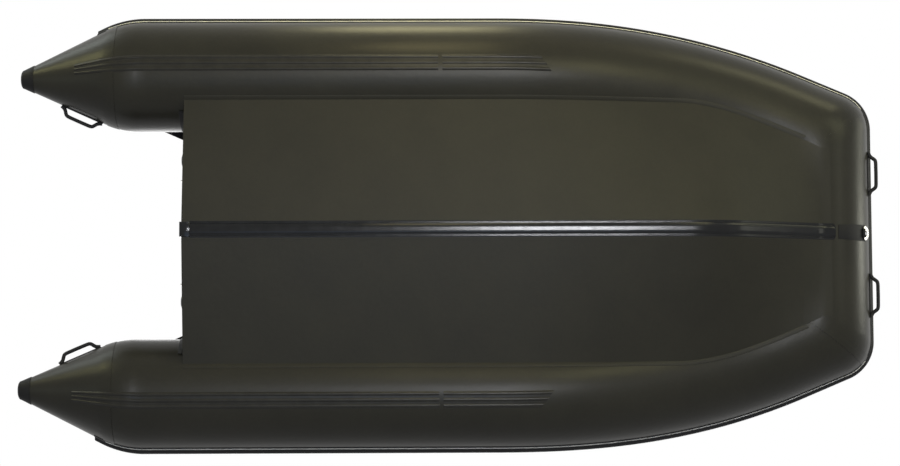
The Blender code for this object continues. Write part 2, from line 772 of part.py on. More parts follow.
def make_keel_guard():
    """The moulded guard glued along the keel, and its end cap, which turns up the transom's aft face."""
    bm = bmesh.new()
    stations = [GUARD_START]
    stations += [row[0].x - STERN for row in skin_rows(PORT) if row[0].x - STERN > GUARD_START + FABRIC]
    stations.append(BOW_STATION + GUARD_LAP)
    rings = []
    for station in stations:
        x = STERN + station
        sole = keel_line(station)
        top = sole + GUARD_THICKNESS
        outline = (
            (-KEEL_FLAT_HALF, top), (KEEL_FLAT_HALF, top), (KEEL_FLAT_HALF, top - GUARD_EDGE),
            (GUARD_SOLE_HALF, sole), (-GUARD_SOLE_HALF, sole), (-KEEL_FLAT_HALF, top - GUARD_EDGE),
        )
        rings.append([Vector((x, y, z)) for y, z in outline])
    loft(bm, rings)
    piece("keel_guard", bm, "keel_rubber")
    bm = bmesh.new()
    face = STERN + TRANSOM_STATION - GAP
    aft = STERN + TRANSOM_STATION - END_CAP_AFT
    outline = (
        (STERN + GUARD_START - GAP, 0.0), (STERN + GUARD_START - GAP, GUARD_THICKNESS),
        (face, GUARD_THICKNESS), (face, END_CAP_HEIGHT), (face - END_CAP_WALL, END_CAP_HEIGHT),
        (aft, GUARD_THICKNESS), (aft, 0.0),
    )
    rings = [[Vector((x, y, z)) for x, z in outline] for y in (-END_CAP_HALF, END_CAP_HALF)]
    loft(bm, rings)
    piece("keel_end_cap", bm, "keel_rubber")


def board_outline():
    """Half outline of the transom board, from the keel out along the bottom and up beside the tube."""
    section = upright_section(PORT, TRANSOM_STATION, TUBE_RADIUS)
    clear = HOLDER_WALL + 3 * GAP
    low = SKIN_LEVEL + 2 * GAP
    side_points = [on_section(section, BOARD_FOOT_ANGLE, clear)]
    side_points += [on_section(section, HOLDER_START - step * FACET, clear) for step in range(7)]
    points = [(KEEL_FLAT_HALF, low)] + [(point.y, point.z) for point in side_points]
    upper = on_section(section, 120.0, clear)
    share = (TRANSOM_TOP - side_points[-1].z) / (upper.z - side_points[-1].z)
    points.append((side_points[-1].lerp(upper, share).y, TRANSOM_TOP))
    points.append((NOTCH_HALF + NOTCH_RAMP, TRANSOM_TOP))
    points.append((NOTCH_HALF, NOTCH_TOP))
    return points


def make_transom():
    """The transom board with its holes, the holders at its ends, the knees and the motor pads."""
    half = board_outline()
    outline = half + [(-y, z) for y, z in reversed(half)]
    aft = STERN + TRANSOM_STATION
    fore = aft + TRANSOM_THICKNESS
    bm = bmesh.new()
    loft(bm, [[Vector((x, y, z)) for y, z in outline] for x in (aft, fore)])
    board = piece("transom_board", bm, "painted_ply")
    holes = bmesh.new()
    for side in SIDE_NAMES.values():
        place = frame(Vector((aft, side * DRAIN_OFFSET, DRAIN_LEVEL)), UP, FORWARD)
        reach = TRANSOM_THICKNESS + CUT_OVERRUN
        turned(holes, ((DRAIN_SLEEVE + SLIP, -CUT_OVERRUN), (DRAIN_SLEEVE + SLIP, reach)), place, VALVE_SIDES)
    combine(board, holes, "drain_holes", "DIFFERENCE")
    make_holders(aft, fore)
    for name, face, way in (("motor_pad_outer", aft, -1), ("motor_pad_inner", fore, 1)):
        bm = bmesh.new()
        top = NOTCH_TOP - PAD_DROP
        low = top - PAD_HEIGHT
        corner = PAD_CORNER
        outline = (
            (-PAD_HALF, low + corner), (-PAD_HALF + corner, low), (PAD_HALF - corner, low),
            (PAD_HALF, low + corner), (PAD_HALF, top - corner), (PAD_HALF - corner, top),
            (-PAD_HALF + corner, top), (-PAD_HALF, top - corner),
        )
        ends = (face + way * GAP, face + way * (GAP + PAD_WALL))
        loft(bm, [[Vector((x, y, z)) for y, z in outline] for x in ends])
        piece(name, bm, "black_plastic")


def make_holders(aft, fore):
    """The U-shaped holders between the board's ends and the tubes, and the knees behind the board."""
    for name, side in SIDE_NAMES.items():
        bm = bmesh.new()
        lip = HOLDER_LIP_WALL + GAP
        base = GAP + HOLDER_WALL
        profile = (
            (aft - HOLDER_FLANGE, GAP), (fore + HOLDER_FLANGE, GAP), (fore + HOLDER_FLANGE, base),
            (fore + lip, base), (fore + lip, HOLDER_LIP), (fore + GAP, HOLDER_LIP), (fore + GAP, base),
            (aft - GAP, base), (aft - GAP, HOLDER_LIP), (aft - lip, HOLDER_LIP), (aft - lip, base),
            (aft - HOLDER_FLANGE, base),
        )
        section = upright_section(side, TRANSOM_STATION, TUBE_RADIUS)
        rings = []
        for step in range(HOLDER_STEPS + 1):
            ring = []
            for x, lift in profile:
                point = on_section(section, HOLDER_START - step * FACET, lift)
                ring.append(Vector((x, point.y, point.z)))
            rings.append(ring)
        loft(bm, rings)
        piece(name + "_transom_holder", bm, "moulded_rubber")
        bm = bmesh.new()
        depth = KNEE_LEVEL - TUBE_LEVEL
        wall_y = HALF_SPACING - math.sqrt(TUBE_RADIUS ** 2 - depth ** 2) - GAP
        outline = (
            (aft - GAP, side * (wall_y - KNEE_WIDTH)), (aft - GAP, side * wall_y),
            (aft - KNEE_LENGTH, side * wall_y), (aft - KNEE_LENGTH, side * (wall_y - KNEE_WALL)),
        )
        prism(bm, outline, Matrix.Identity(4), KNEE_LEVEL, KNEE_LEVEL + KNEE_WALL)
        piece(name + "_transom_knee", bm, "moulded_rubber")


def make_transom_fittings():
    """Tow eyes, each welded to its plate, and drain fittings with their plugs."""
    aft = STERN + TRANSOM_STATION
    for name, side in SIDE_NAMES.items():
        y = side * EYE_OFFSET
        face = aft - GAP - EYE_PLATE
        bend = face - EYE_STAND
        bm = bmesh.new()
        box(bm, (face, y - EYE_PLATE_HALF, EYE_LEVEL - EYE_PLATE_LENGTH / 2),
            (aft - GAP, y + EYE_PLATE_HALF, EYE_LEVEL + EYE_PLATE_LENGTH / 2))
        eye = piece(name + "_tow_eye", bm, "stainless")
        path = [Vector((face + EYE_PLATE / 2, y, EYE_LEVEL - EYE_HALF))]
        for step in range(9):
            turn = math.pi * step / 8
            path.append(Vector((bend - EYE_HALF * math.sin(turn), y, EYE_LEVEL - EYE_HALF * math.cos(turn))))
        path.append(Vector((face + EYE_PLATE / 2, y, EYE_LEVEL + EYE_HALF)))
        bow = bmesh.new()
        rod(bow, path, SIDEWAYS, EYE_ROD, 8)
        combine(eye, bow, name + "_tow_eye_bow", "UNION")
        place = frame(Vector((aft, side * DRAIN_OFFSET, DRAIN_LEVEL)), UP, FORWARD)
        end = TRANSOM_THICKNESS + DRAIN_END
        profile = (
            (DRAIN_BORE, -DRAIN_STAND), (DRAIN_SLEEVE, -DRAIN_STAND), (DRAIN_FLANGE, -DRAIN_STAND / 2),
            (DRAIN_FLANGE, -GAP), (DRAIN_SLEEVE, -GAP), (DRAIN_SLEEVE, end), (DRAIN_BORE, end),
        )
        bm = bmesh.new()
        turned(bm, profile, place, VALVE_SIDES, closed=True)
        piece(name + "_drain_fitting", bm, "black_plastic")
        seat_level = end + GAP
        head = seat_level + PLUG_HEAD_HEIGHT
        profile = (
            (DRAIN_BORE - SLIP, seat_level - PLUG_LENGTH), (DRAIN_BORE - SLIP, seat_level),
            (PLUG_HEAD, seat_level), (PLUG_HEAD, head), (PLUG_TAB_RADIUS, head),
            (PLUG_TAB_RADIUS, head + PLUG_TAB_HEIGHT),
        )
        bm = bmesh.new()
        turned(bm, profile, place, VALVE_SIDES)
        piece(name + "_drain_plug", bm, "grey_plastic", pivot=place @ Vector((0.0, 0.0, seat_level)))


def make_wear_strips():
    """Ribbed strips glued under each tube, in two lengths. The forward one ends on a slant."""
    profile = [(STRIP_ANGLE - STRIP_HALF, STRIP_BASE)]
    for middle in (-STRIP_RIB_SPACING, 0.0, STRIP_RIB_SPACING):
        rib = STRIP_ANGLE + middle
        profile += [(rib - STRIP_RIB_HALF, STRIP_BASE), (rib - STRIP_RIB_HALF / 2, STRIP_RIB)]
        profile += [(rib + STRIP_RIB_HALF / 2, STRIP_RIB), (rib + STRIP_RIB_HALF, STRIP_BASE)]
    profile.append((STRIP_ANGLE + STRIP_HALF, STRIP_BASE))
    for name, side in SIDE_NAMES.items():
        sections = SIDE_SECTIONS[side]
        for length, (start, end) in STRIP_STATIONS.items():

            def slanted(angle, last=end):
                share = (angle - STRIP_ANGLE + STRIP_HALF) / (2 * STRIP_HALF)
                return run_at(sections, last - STRIP_SLANT * share)

            bm = bmesh.new()
            runs = runs_between(run_at(sections, start), run_at(sections, end))
            strip(bm, sections, runs, profile, end_runs=slanted if length == "forward" else None)
            piece(name + "_" + length + "_wear_strip", bm, "keel_rubber")


def make_strakes():
    """The rub strake in three lengths, with joints at the mitres."""
    crest = (
        (-STRAKE_SHOULDER, STRAKE_BASE), (-STRAKE_CREST, STRAKE_STAND),
        (STRAKE_CREST, STRAKE_STAND), (STRAKE_SHOULDER, STRAKE_BASE),
    )
    profile = ((-STRAKE_HALF, STRAKE_BASE), *crest, (STRAKE_HALF, STRAKE_BASE))
    for name, side in SIDE_NAMES.items():
        sections = eased(SIDE_SECTIONS[side])
        last = len(sections) - 1
        bm = bmesh.new()
        strip(bm, sections, runs_between(run_at(sections, STRAKE_START), last), profile)
        piece(name + "_strake", bm, "moulded_rubber")
    sections = eased(BOW_SECTIONS)
    profile = ((-BOW_STRAKE_HALF, STRAKE_BASE), *crest, (BOW_STRAKE_HALF, STRAKE_BASE))
    bm = bmesh.new()
    strip(bm, sections, list(range(len(sections))), profile)
    piece("bow_strake", bm, "moulded_rubber")


def make_handle(name, sections, first, angle, axis, value):
    """A moulded handle: a pointed pad that follows the tube and a grip with a slot for the fingers."""
    bm = bmesh.new()
    half_turn = math.degrees(HANDLE_PAD_HALF / TUBE_RADIUS)
    middle_run = run_for(sections, first, angle, axis, value)
    place = seat(sections, middle_run, angle)
    along = place.to_3x3().col[0]
    rings = []
    for share, width in HANDLE_PAD_SHARES:
        reach = value + along[axis] * HANDLE_LENGTH / 2 * share
        run = run_for(sections, first, angle, axis, reach)
        turns = (angle - half_turn * width, angle, angle + half_turn * width)
        under = [on_tube(sections, run, turn, GAP) for turn in turns]
        over = [on_tube(sections, run, turn, GAP + HANDLE_PAD) for turn in turns]
        rings.append(under + over[::-1])
    loft(bm, rings)
    handle = piece(name, bm, "moulded_rubber")
    root = GAP + HANDLE_PAD / 2
    height = HANDLE_HEIGHT + HANDLE_PAD / 2
    outer = [(x * HANDLE_LENGTH / 2, root + y * height) for x, y in HANDLE_OUTER_SHARES]
    slot = [(x * HANDLE_LENGTH / 2, root + y * height) for x, y in HANDLE_SLOT_SHARES]
    grip = bmesh.new()
    upright = place @ Matrix.Rotation(math.pi / 2, 4, "X")
    hollow_prism(grip, outer, slot, upright, -HANDLE_DEPTH / 2, HANDLE_DEPTH / 2)
    combine(handle, grip, name + "_grip", "UNION")


def make_handles():
    """Two handles on the front of the bow tube and two on the inner sides of the cones."""
    for name, side in SIDE_NAMES.items():
        make_handle(name + "_bow_handle", BOW_SECTIONS, CORNER_STEPS, BOW_HANDLE_ANGLE, 1,
                    side * BOW_HANDLE_OFFSET)
        make_handle(name + "_stern_handle", SIDE_SECTIONS[side], 0, STERN_HANDLE_ANGLE, 0,
                    STERN + STERN_HANDLE_STATION)


def make_tow_ring():
    """The patch under the bow with its keeper sleeve, and the D-shaped ring that turns in it."""
    first = CORNER_STEPS
    runs = [run_for(BOW_SECTIONS, first, 300.0, 1, y) for y in (RING_PATCH_HALF, -RING_PATCH_HALF)]
    bm = bmesh.new()
    profile = [(angle, RING_PATCH_WALL) for angle in RING_PATCH_ANGLES]
    strip(bm, BOW_SECTIONS, runs, profile)
    patch = piece("bow_ring_patch", bm, "moulded_rubber")
    place = seat(BOW_SECTIONS, run_for(BOW_SECTIONS, first, RING_ANGLE, 1, 0.0), RING_ANGLE)
    normal = place.to_3x3().col[2]
    centre = place.translation + normal * (GAP + RING_PATCH_WALL + KEEPER_RADIUS - KEEPER_SINK)
    sleeve = frame(centre, normal, SIDEWAYS)
    bore = RING_ROD + SLIP
    profile = (
        (bore, -KEEPER_HALF), (KEEPER_RADIUS, -KEEPER_HALF), (KEEPER_RADIUS, KEEPER_HALF), (bore, KEEPER_HALF),
    )
    bm = bmesh.new()
    turned(bm, profile, sleeve, 12, closed=True)
    combine(patch, bm, "bow_ring_keeper", "UNION")
    upwards = SIDEWAYS.cross(normal)
    if upwards.z < 0:
        upwards = -upwards
    path = [centre - SIDEWAYS * RING_HALF, centre + SIDEWAYS * RING_HALF]
    straight = RING_DEPTH - RING_HALF
    for step in range(9):
        turn = math.pi * step / 8
        path.append(centre + SIDEWAYS * (RING_HALF * math.cos(turn))
                    + upwards * (straight + RING_HALF * math.sin(turn)))
    bm = bmesh.new()
    rod(bm, path, normal, RING_ROD, 8, closed=True)
    piece("bow_tow_ring", bm, "stainless", pivot=centre)


def floor_level(station):
    """Height of the floor boards' top face, which tilts up at the bow."""
    return FLOOR_TOP + max(station - FLOOR_KINK, 0.0) * math.tan(FLOOR_SLOPE)


def inboard_reach(station, level):
    """Half the free width between the side tubes at a station and a height."""
    sections = SIDE_SECTIONS[PORT]
    run = run_at(sections, station)
    first = min(int(run), len(sections) - 2)
    centre = sections[first].centre.lerp(sections[first + 1].centre, run - first)
    tilt = sections[first].out.lerp(sections[first + 1].out, run - first).y
    depth = centre.z - level
    return centre.y - math.sqrt(max(TUBE_RADIUS ** 2 - depth ** 2, 0.0)) / tilt


def make_floor():
    """Three floor boards and the aluminium profiles that join them."""
    board_half = inboard_reach(FLOOR_AFT, FLOOR_TOP) - BOARD_CLEARANCE
    web = JOINER_WEB / 2 + GAP
    bm = bmesh.new()
    box(bm, (STERN + FLOOR_AFT, -board_half, FLOOR_UNDER), (STERN + FLOOR_SPLIT - web, board_half, FLOOR_TOP))
    piece("aft_floor_board", bm, "plywood")
    bm = bmesh.new()
    box(bm, (STERN + FLOOR_SPLIT + web, -board_half, FLOOR_UNDER),
        (STERN + FLOOR_KINK - web, board_half, FLOOR_TOP))
    middle = piece("middle_floor_board", bm, "plywood")
    hatch = bmesh.new()
    place = Matrix.Translation((STERN + KEEL_VALVE_STATION, 0.0, FLOOR_UNDER))
    turned(hatch, ((VALVE_HATCH, -CUT_OVERRUN), (VALVE_HATCH, BOARD + CUT_OVERRUN)), place, VALVE_SIDES)
    combine(middle, hatch, "valve_hatch", "DIFFERENCE")
    bm = bmesh.new()
    rings = []
    for step in range(BOW_BOARD_STEPS + 1):
        station = FLOOR_KINK + web + (FLOOR_BOW - FLOOR_KINK - web) * step / BOW_BOARD_STEPS
        top = floor_level(station)
        reach = min(board_half, inboard_reach(station, top) - BOARD_CLEARANCE)
        corners = ((-reach, top - BOARD), (reach, top - BOARD), (reach, top), (-reach, top))
        rings.append([Vector((STERN + station, y, z)) for y, z in corners])
    loft(bm, rings)
    piece("bow_floor_board", bm, "plywood")
    make_joiners(board_half - JOINER_INSET)


def make_joiners(reach):
    """An H-shaped joiner between the flat boards, and a channel where the bow board starts to climb."""
    low = FLOOR_UNDER - GAP
    high = FLOOR_TOP + GAP
    web = JOINER_WEB / 2
    channel = [
        (web, low - JOINER_WALL), (web, high + JOINER_WALL), (-JOINER_FLANGE, high + JOINER_WALL),
        (-JOINER_FLANGE, high), (-web, high), (-web, low), (-JOINER_FLANGE, low),
        (-JOINER_FLANGE, low - JOINER_WALL),
    ]
    fore = [
        (JOINER_FLANGE, low - JOINER_WALL), (JOINER_FLANGE, low), (web, low),
        (web, high), (JOINER_FLANGE, high), (JOINER_FLANGE, high + JOINER_WALL),
    ]
    for name, station, outline in (("aft", FLOOR_SPLIT, fore + channel[2:]), ("bow", FLOOR_KINK, channel)):
        bm = bmesh.new()
        loft(bm, [[Vector((STERN + station + x, y, z)) for x, z in outline] for y in (-reach, reach)])
        piece(name + "_floor_joiner", bm, "aluminium")


def keel_tube_ring(station, inset, share=1.0):
    """A section of the inflatable keel, flat on top under the boards and flat below on the skin."""
    low = keel_line(station) + SKIN_LEVEL + GAP
    high = floor_level(station) - BOARD - JOINER_WALL - 2 * GAP
    middle = (low + high) / 2
    ring = []
    for width, height in KEEL_TUBE_SHARES:
        y = KEEL_TUBE_HALF * width * share - inset
        z = middle + (low + (high - low) * height - middle) * (1 if share == 1.0 else share)
        ring.append((y, z - inset if height > 0.5 else z + inset if height < 0.5 else z))
    ring += [(-y, z) for y, z in reversed(ring)]
    return [Vector((STERN + station, y, z)) for y, z in ring]


def make_keel_tube():
    """The inflatable keel with its cavity, and the valve on top of it."""
    stations = [KEEL_TUBE_START]
    stations += [row[0].x - STERN for row in skin_rows(PORT)
                 if KEEL_TUBE_START + BOARD < row[0].x - STERN < KEEL_TUBE_END - KEEL_TUBE_HALF]
    stations.append(FLOOR_KINK)
    stations = sorted(stations)
    bm = bmesh.new()
    rings = [keel_tube_ring(station, 0.0) for station in stations]
    loft(bm, rings + [keel_tube_ring(KEEL_TUBE_END, 0.0, KEEL_TUBE_NOSE_SHARE)])
    keel = piece("keel_tube", bm, "tube_fabric")
    bm = bmesh.new()
    inside = [stations[0] + FABRIC] + stations[1:]
    rings = [keel_tube_ring(station, FABRIC) for station in inside]
    loft(bm, rings + [keel_tube_ring(KEEL_TUBE_END - FABRIC, FABRIC, KEEL_TUBE_NOSE_SHARE)])
    combine(keel, bm, "keel_cavity", "DIFFERENCE")
    level = FLOOR_UNDER - JOINER_WALL - 2 * GAP
    place = Matrix.Translation((STERN + KEEL_VALVE_STATION, 0.0, level))
    valve_hole(keel, place, "keel_valve_hole")
    make_valve("keel", place)


def make_side_valves():
    """Valves of the two aft chambers and of the bow chamber, on the inboard faces of the tubes."""
    for name, side in SIDE_NAMES.items():
        sections = SIDE_SECTIONS[side]
        place = seat(sections, run_at(sections, SIDE_VALVE_STATION), VALVE_ANGLE)
        valve_hole(TUBES[name], place, name + "_valve_hole")
        make_valve(name, place)
    run = run_for(BOW_SECTIONS, CORNER_STEPS, VALVE_ANGLE, 1, 0.0)
    place = seat(BOW_SECTIONS, run, VALVE_ANGLE)
    valve_hole(TUBES["bow"], place, "bow_valve_hole")
    make_valve("bow", place)


def track_place(side, station):
    """The track's frame at a station: x forward, z outwards from the tube."""
    sections = SIDE_SECTIONS[side]
    return seat(sections, run_at(sections, station), TRACK_ANGLE)


def make_bench():
    """The tracks glued along the tubes and the bench seat, whose moulded hooks slide along them."""
    seat_board = bmesh.new()
    hooks = bmesh.new()
    top = TRACK_WALL + GAP
    outline = (
        (-TRACK_HALF, GAP), (TRACK_HALF, GAP), (TRACK_HALF, top), (TRACK_BEAD_HALF, top),
        (TRACK_BEAD_HALF, TRACK_BEAD), (-TRACK_BEAD_HALF, TRACK_BEAD), (-TRACK_BEAD_HALF, top), (-TRACK_HALF, top),
    )
    groove = TRACK_BEAD_HALF + SLIP
    foot = top + SLIP
    roof = TRACK_BEAD + SLIP
    channel = ((-HOOK_HALF, foot), (-groove, foot), (-groove, roof), (groove, roof), (groove, foot),
               (HOOK_HALF, foot))
    ends = [STERN + BENCH_STATION + way * HOOK_LENGTH / 2 for way in (-1, 1)]
    for name, side in SIDE_NAMES.items():
        place = track_place(side, TRACK_START)
        across = place.to_3x3().col[1]
        normal = place.to_3x3().col[2]
        start = place.translation
        tracks = bmesh.new()
        rings = []
        for x in (STERN + TRACK_START, STERN + TRACK_END):
            shift = Vector((x - start.x, 0.0, 0.0))
            rings.append([start + shift + across * y + normal * z for y, z in outline])
        loft(tracks, rings)
        piece(name + "_bench_track", tracks, "black_plastic")
        inward = across if across.z < 0 else -across
        points = [start + inward * y + normal * z for y, z in channel]
        highest = max(point.z for point in points) + HOOK_ROOF
        lid = [Vector((start.x, points[-1].y, highest)), Vector((start.x, points[0].y, highest))]
        rings = []
        for x in ends:
            shift = Vector((x - start.x, 0.0, 0.0))
            rings.append([point + shift for point in points + lid])
        loft(hooks, rings)
    pivot = Vector((STERN + BENCH_STATION, 0.0, highest))
    half = BENCH_WIDTH / 2
    corner = BENCH_CORNER
    outline = (
        (-half, -BENCH_HALF + corner), (-half + corner, -BENCH_HALF), (half - corner, -BENCH_HALF),
        (half, -BENCH_HALF + corner), (half, BENCH_HALF - corner), (half - corner, BENCH_HALF),
        (-half + corner, BENCH_HALF), (-half, BENCH_HALF - corner),
    )
    prism(seat_board, outline, Matrix.Translation(pivot), -BENCH_SINK, BENCH_WALL)
    bench = piece("bench_seat", seat_board, "plywood", pivot=pivot)
    combine(bench, hooks, "bench_hooks", "UNION")


def make_rowlocks():
    """Patches with sockets on top of the tubes, and the rowlocks that swivel in them."""
    for name, side in SIDE_NAMES.items():
        sections = SIDE_SECTIONS[side]
        ends = [run_at(sections, ROWLOCK_STATION + way * ROWLOCK_PATCH_HALF) for way in (-1, 1)]
        profile = ((ROWLOCK_ANGLE - ROWLOCK_PATCH_SPAN, ROWLOCK_PATCH_WALL),
                   (ROWLOCK_ANGLE + ROWLOCK_PATCH_SPAN, ROWLOCK_PATCH_WALL))
        bm = bmesh.new()
        strip(bm, sections, ends, profile)
        patch = piece(name + "_rowlock_base", bm, "moulded_rubber")
        place = seat(sections, run_at(sections, ROWLOCK_STATION), ROWLOCK_ANGLE)
        base = GAP + ROWLOCK_PATCH_WALL / 2
        top = base + SOCKET_HEIGHT
        profile = (
            (SOCKET_FOOT, base), (SOCKET_FOOT, base + SOCKET_FOOT_HEIGHT / 2),
            (SOCKET_RADIUS, base + SOCKET_FOOT_HEIGHT), (SOCKET_RADIUS, top), (SOCKET_BORE, top),
            (SOCKET_BORE, base + SOCKET_BOTTOM),
        )
        bm = bmesh.new()
        turned(bm, profile, place, 16)
        combine(patch, bm, name + "_rowlock_socket", "UNION")
        bm = bmesh.new()
        collar = top + GAP
        crotch = collar + COLLAR_HEIGHT
        profile = (
            (PIN_RADIUS, base + SOCKET_BOTTOM + GAP), (PIN_RADIUS, collar), (COLLAR_RADIUS, collar),
            (COLLAR_RADIUS, crotch), (PIN_RADIUS, crotch + HORN_ROD),
        )
        turned(bm, profile, place, 16)
        pivot = place @ Vector((0.0, 0.0, collar))
        lock = piece(name + "_rowlock", bm, "black_plastic", pivot=pivot)
        path = []
        for step in range(HORN_STEPS + 1):
            turn = math.pi * step / HORN_STEPS
            path.append(Vector((HORN_HALF * math.cos(turn), 0.0, crotch + HORN_HALF - HORN_HALF * math.sin(turn))))
        rim = crotch + HORN_HEIGHT
        path = [Vector((HORN_HALF, 0.0, rim))] + path + [Vector((-HORN_HALF, 0.0, rim))]
        horn = bmesh.new()
        rod(horn, [place @ point for point in path], place.to_3x3().col[1], HORN_ROD, 8)
        combine(lock, horn, name + "_rowlock_horn", "UNION")


for leftover in list(bpy.data.objects):
    bpy.data.objects.remove(leftover, do_unlink=True)

FINISHES = make_finishes()
BOAT = bpy.data.objects.new("boat", None)
bpy.context.scene.collection.objects.link(BOAT)
SIDE_SECTIONS = {side: side_sections(side) for side in SIDE_NAMES.values()}
BOW_SECTIONS = bow_sections()
SEAM_RUN = 2
TUBES = {name: open_tube(name + "_tube", SIDE_SECTIONS[side][SEAM_RUN:]) for name, side in SIDE_NAMES.items()}
TUBES["bow"] = open_tube("bow_tube", BOW_SECTIONS)

make_cones()
make_bulkheads()
make_bottom()
make_keel_guard()
make_transom()
make_transom_fittings()
make_wear_strips()
make_strakes()
make_handles()
make_tow_ring()
make_floor()
make_keel_tube()
make_side_valves()
make_bench()
make_rowlocks()
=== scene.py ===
"""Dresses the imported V-hull dinghy with fabric, rubber and fittings, and sets a plain stage."""

import json
import math
from collections import namedtuple

import bpy
from mathutils import Matrix, Vector

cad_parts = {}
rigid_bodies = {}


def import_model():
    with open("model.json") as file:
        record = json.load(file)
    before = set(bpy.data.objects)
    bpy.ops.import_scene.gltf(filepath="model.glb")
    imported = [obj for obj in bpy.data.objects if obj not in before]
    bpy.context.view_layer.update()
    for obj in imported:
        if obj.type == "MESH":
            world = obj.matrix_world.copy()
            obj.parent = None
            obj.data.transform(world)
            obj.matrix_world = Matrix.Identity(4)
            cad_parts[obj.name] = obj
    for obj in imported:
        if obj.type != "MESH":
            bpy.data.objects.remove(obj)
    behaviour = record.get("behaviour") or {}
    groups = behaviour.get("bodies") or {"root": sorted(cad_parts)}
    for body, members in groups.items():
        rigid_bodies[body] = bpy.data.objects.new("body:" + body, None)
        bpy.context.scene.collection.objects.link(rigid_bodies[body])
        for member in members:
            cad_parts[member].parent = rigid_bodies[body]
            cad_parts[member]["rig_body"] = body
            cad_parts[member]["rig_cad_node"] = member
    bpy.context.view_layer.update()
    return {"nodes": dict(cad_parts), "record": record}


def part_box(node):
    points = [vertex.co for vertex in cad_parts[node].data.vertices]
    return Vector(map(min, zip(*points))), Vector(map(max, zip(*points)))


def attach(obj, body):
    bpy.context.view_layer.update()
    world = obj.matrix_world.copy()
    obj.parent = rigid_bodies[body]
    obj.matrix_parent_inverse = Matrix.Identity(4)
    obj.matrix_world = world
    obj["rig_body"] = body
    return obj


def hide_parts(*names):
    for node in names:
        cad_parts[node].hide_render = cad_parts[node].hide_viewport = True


bl_info = {
    "name": "Inflatable V-Hull Dinghy",
    "version": (1, 0, 0),
    "blender": (4, 5, 0),
    "location": "View3D > Sidebar > Dinghy",
    "description": "Dresses the packed dinghy with fabric, rubber and fittings, and sets its stage",
    "category": "Object",
}

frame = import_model()

SIDES = {"port": 1, "starboard": -1}
UP = Vector((0.0, 0.0, 1.0))
FORWARD = Vector((1.0, 0.0, 0.0))
SIDEWAYS = Vector((0.0, 1.0, 0.0))
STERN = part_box("port_cone_tip")[0].x

# Form of the tubes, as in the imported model
FACET = 15.0
TUBE_RADIUS = 0.2103
PACKED_RADIUS = 0.210
GLUE_GAP = 0.0003
HALF_SPACING = 0.608
TUBE_LEVEL = 0.272
BOW_RISE = 0.120
BEND_START = 1.800
BEND_LENGTH = 1.120
BEND_ANGLE = math.radians(22.5)
BEND_EASE = 1.4
BEND_STEPS = 48
MITRE_RUN = 0.160
CORNER_RADIUS = 0.150
CORNER_ANGLE = (math.pi / 2 - BEND_ANGLE) / 2
CORNER_STEPS = 12
CREASE = 0.018
TIP_STATION = 0.012
TIP_RADIUS = 0.033
CONE_ANGLE = math.radians(25.6)
SHOULDER_RADIUS = 0.349
SHOULDER_START = TIP_STATION + (
    (TUBE_RADIUS - SHOULDER_RADIUS * (1 - math.cos(CONE_ANGLE)) - TIP_RADIUS) / math.tan(CONE_ANGLE)
)
SHOULDER_END = SHOULDER_START + SHOULDER_RADIUS * math.sin(CONE_ANGLE)
CONE_SEAM = 0.345
TIP_TOE = 0.018
TIP_DROP = 0.060
TIP_WALL = 0.0026
TIP_END = 0.050
TIP_LIP = 0.003
TIP_STEPS = 8
TIP_AROUND = 48
TIP_BLUNT_SHARES = (0.30, 0.70)
AROUND = 96
BOW_SECTIONS = 16

# Glued bands: how deep their edges are sunk, their step round the tube in degrees, and where their rows lie
SUNK = -0.0006
EDGE_SUNK = -0.0005
BAND_STEP = 2.5
TAPE_SHARES = (-1.0, -0.97, -0.5, 0.0, 0.5, 0.97, 1.0)
MITRE_TAPE_RUNS = (3.0, 2.9, 1.5, 0.0)
# How far from a seam the fabric puckers
PUCKER_REACH = 0.035

# Form of the bottom
SEAM_OFFSET = 0.498
SEAM_LIMIT = 260.0
SEAM_END_OFFSET = 0.320
TRANSOM_STATION = 0.630
KEEL_FLAT_HALF = 0.031
SKIN_LEVEL = 0.007
SKIN_WALL = 0.0012
SKIN_LAP = 0.032
KEEL_SWEEP = math.radians(24)
KEEL_BEND_RADIUS = 0.500
LAP_SLOPE = math.tan(math.radians(FACET / 2))
SEAM_EASE = 6.0
SEAM_LIFT = 0.0014
LAP_DROP = 0.0016
LAP_STEPS = ((0.0, 8), (SKIN_LAP, 2))
PANEL_COLUMNS = 40
FLAT_COLUMNS = 4
BELLY_FADE = 0.35
KEEL_BAND_HALF = 0.041
KEEL_BAND_WALL = 0.0010
KEEL_BAND_SHARE = 0.9

# Keel guard: half profile from its edge to its flat, as offset and height, and the taper of its bow end
GUARD_HALF = (
    (0.0310, 0.0058), (0.0310, 0.0042), (0.0304, 0.0036), (0.0256, 0.0030), (0.0240, 0.0032),
    (0.0228, 0.0018), (0.0214, 0.0018), (0.0202, 0.0028), (0.0168, 0.0022), (0.0150, 0.0014),
    (0.0140, 0.0003), (0.0130, 0.0000), (0.0050, 0.0000),
)
GUARD_STEP = 0.02
GUARD_TAPER = 0.012
GUARD_NOSE = ((0.006, 0.94), (0.002, 0.80), (0.0, 0.55))

# Wear strips, in degrees round the tube and metres above it or along the boat
STRIP_ANGLE = 276.8
STRIP_SPACING = 6.1
STRIP_HALF = 8.4
STRIP_SIDE = 0.4
STRIP_BASE = (0.0013, 0.0018)
STRIP_RIB = (
    (-1.8, 0.0016), (-1.4, 0.0032), (-0.8, 0.0044), (0.0, 0.0048), (0.8, 0.0044), (1.4, 0.0032),
    (1.8, 0.0016),
)
STRIP_LENGTHS = (("aft", 0.215, 1.586), ("forward", 1.602, 1.995))
STRIP_STEP = 0.025
STRIP_SLANT = 0.042

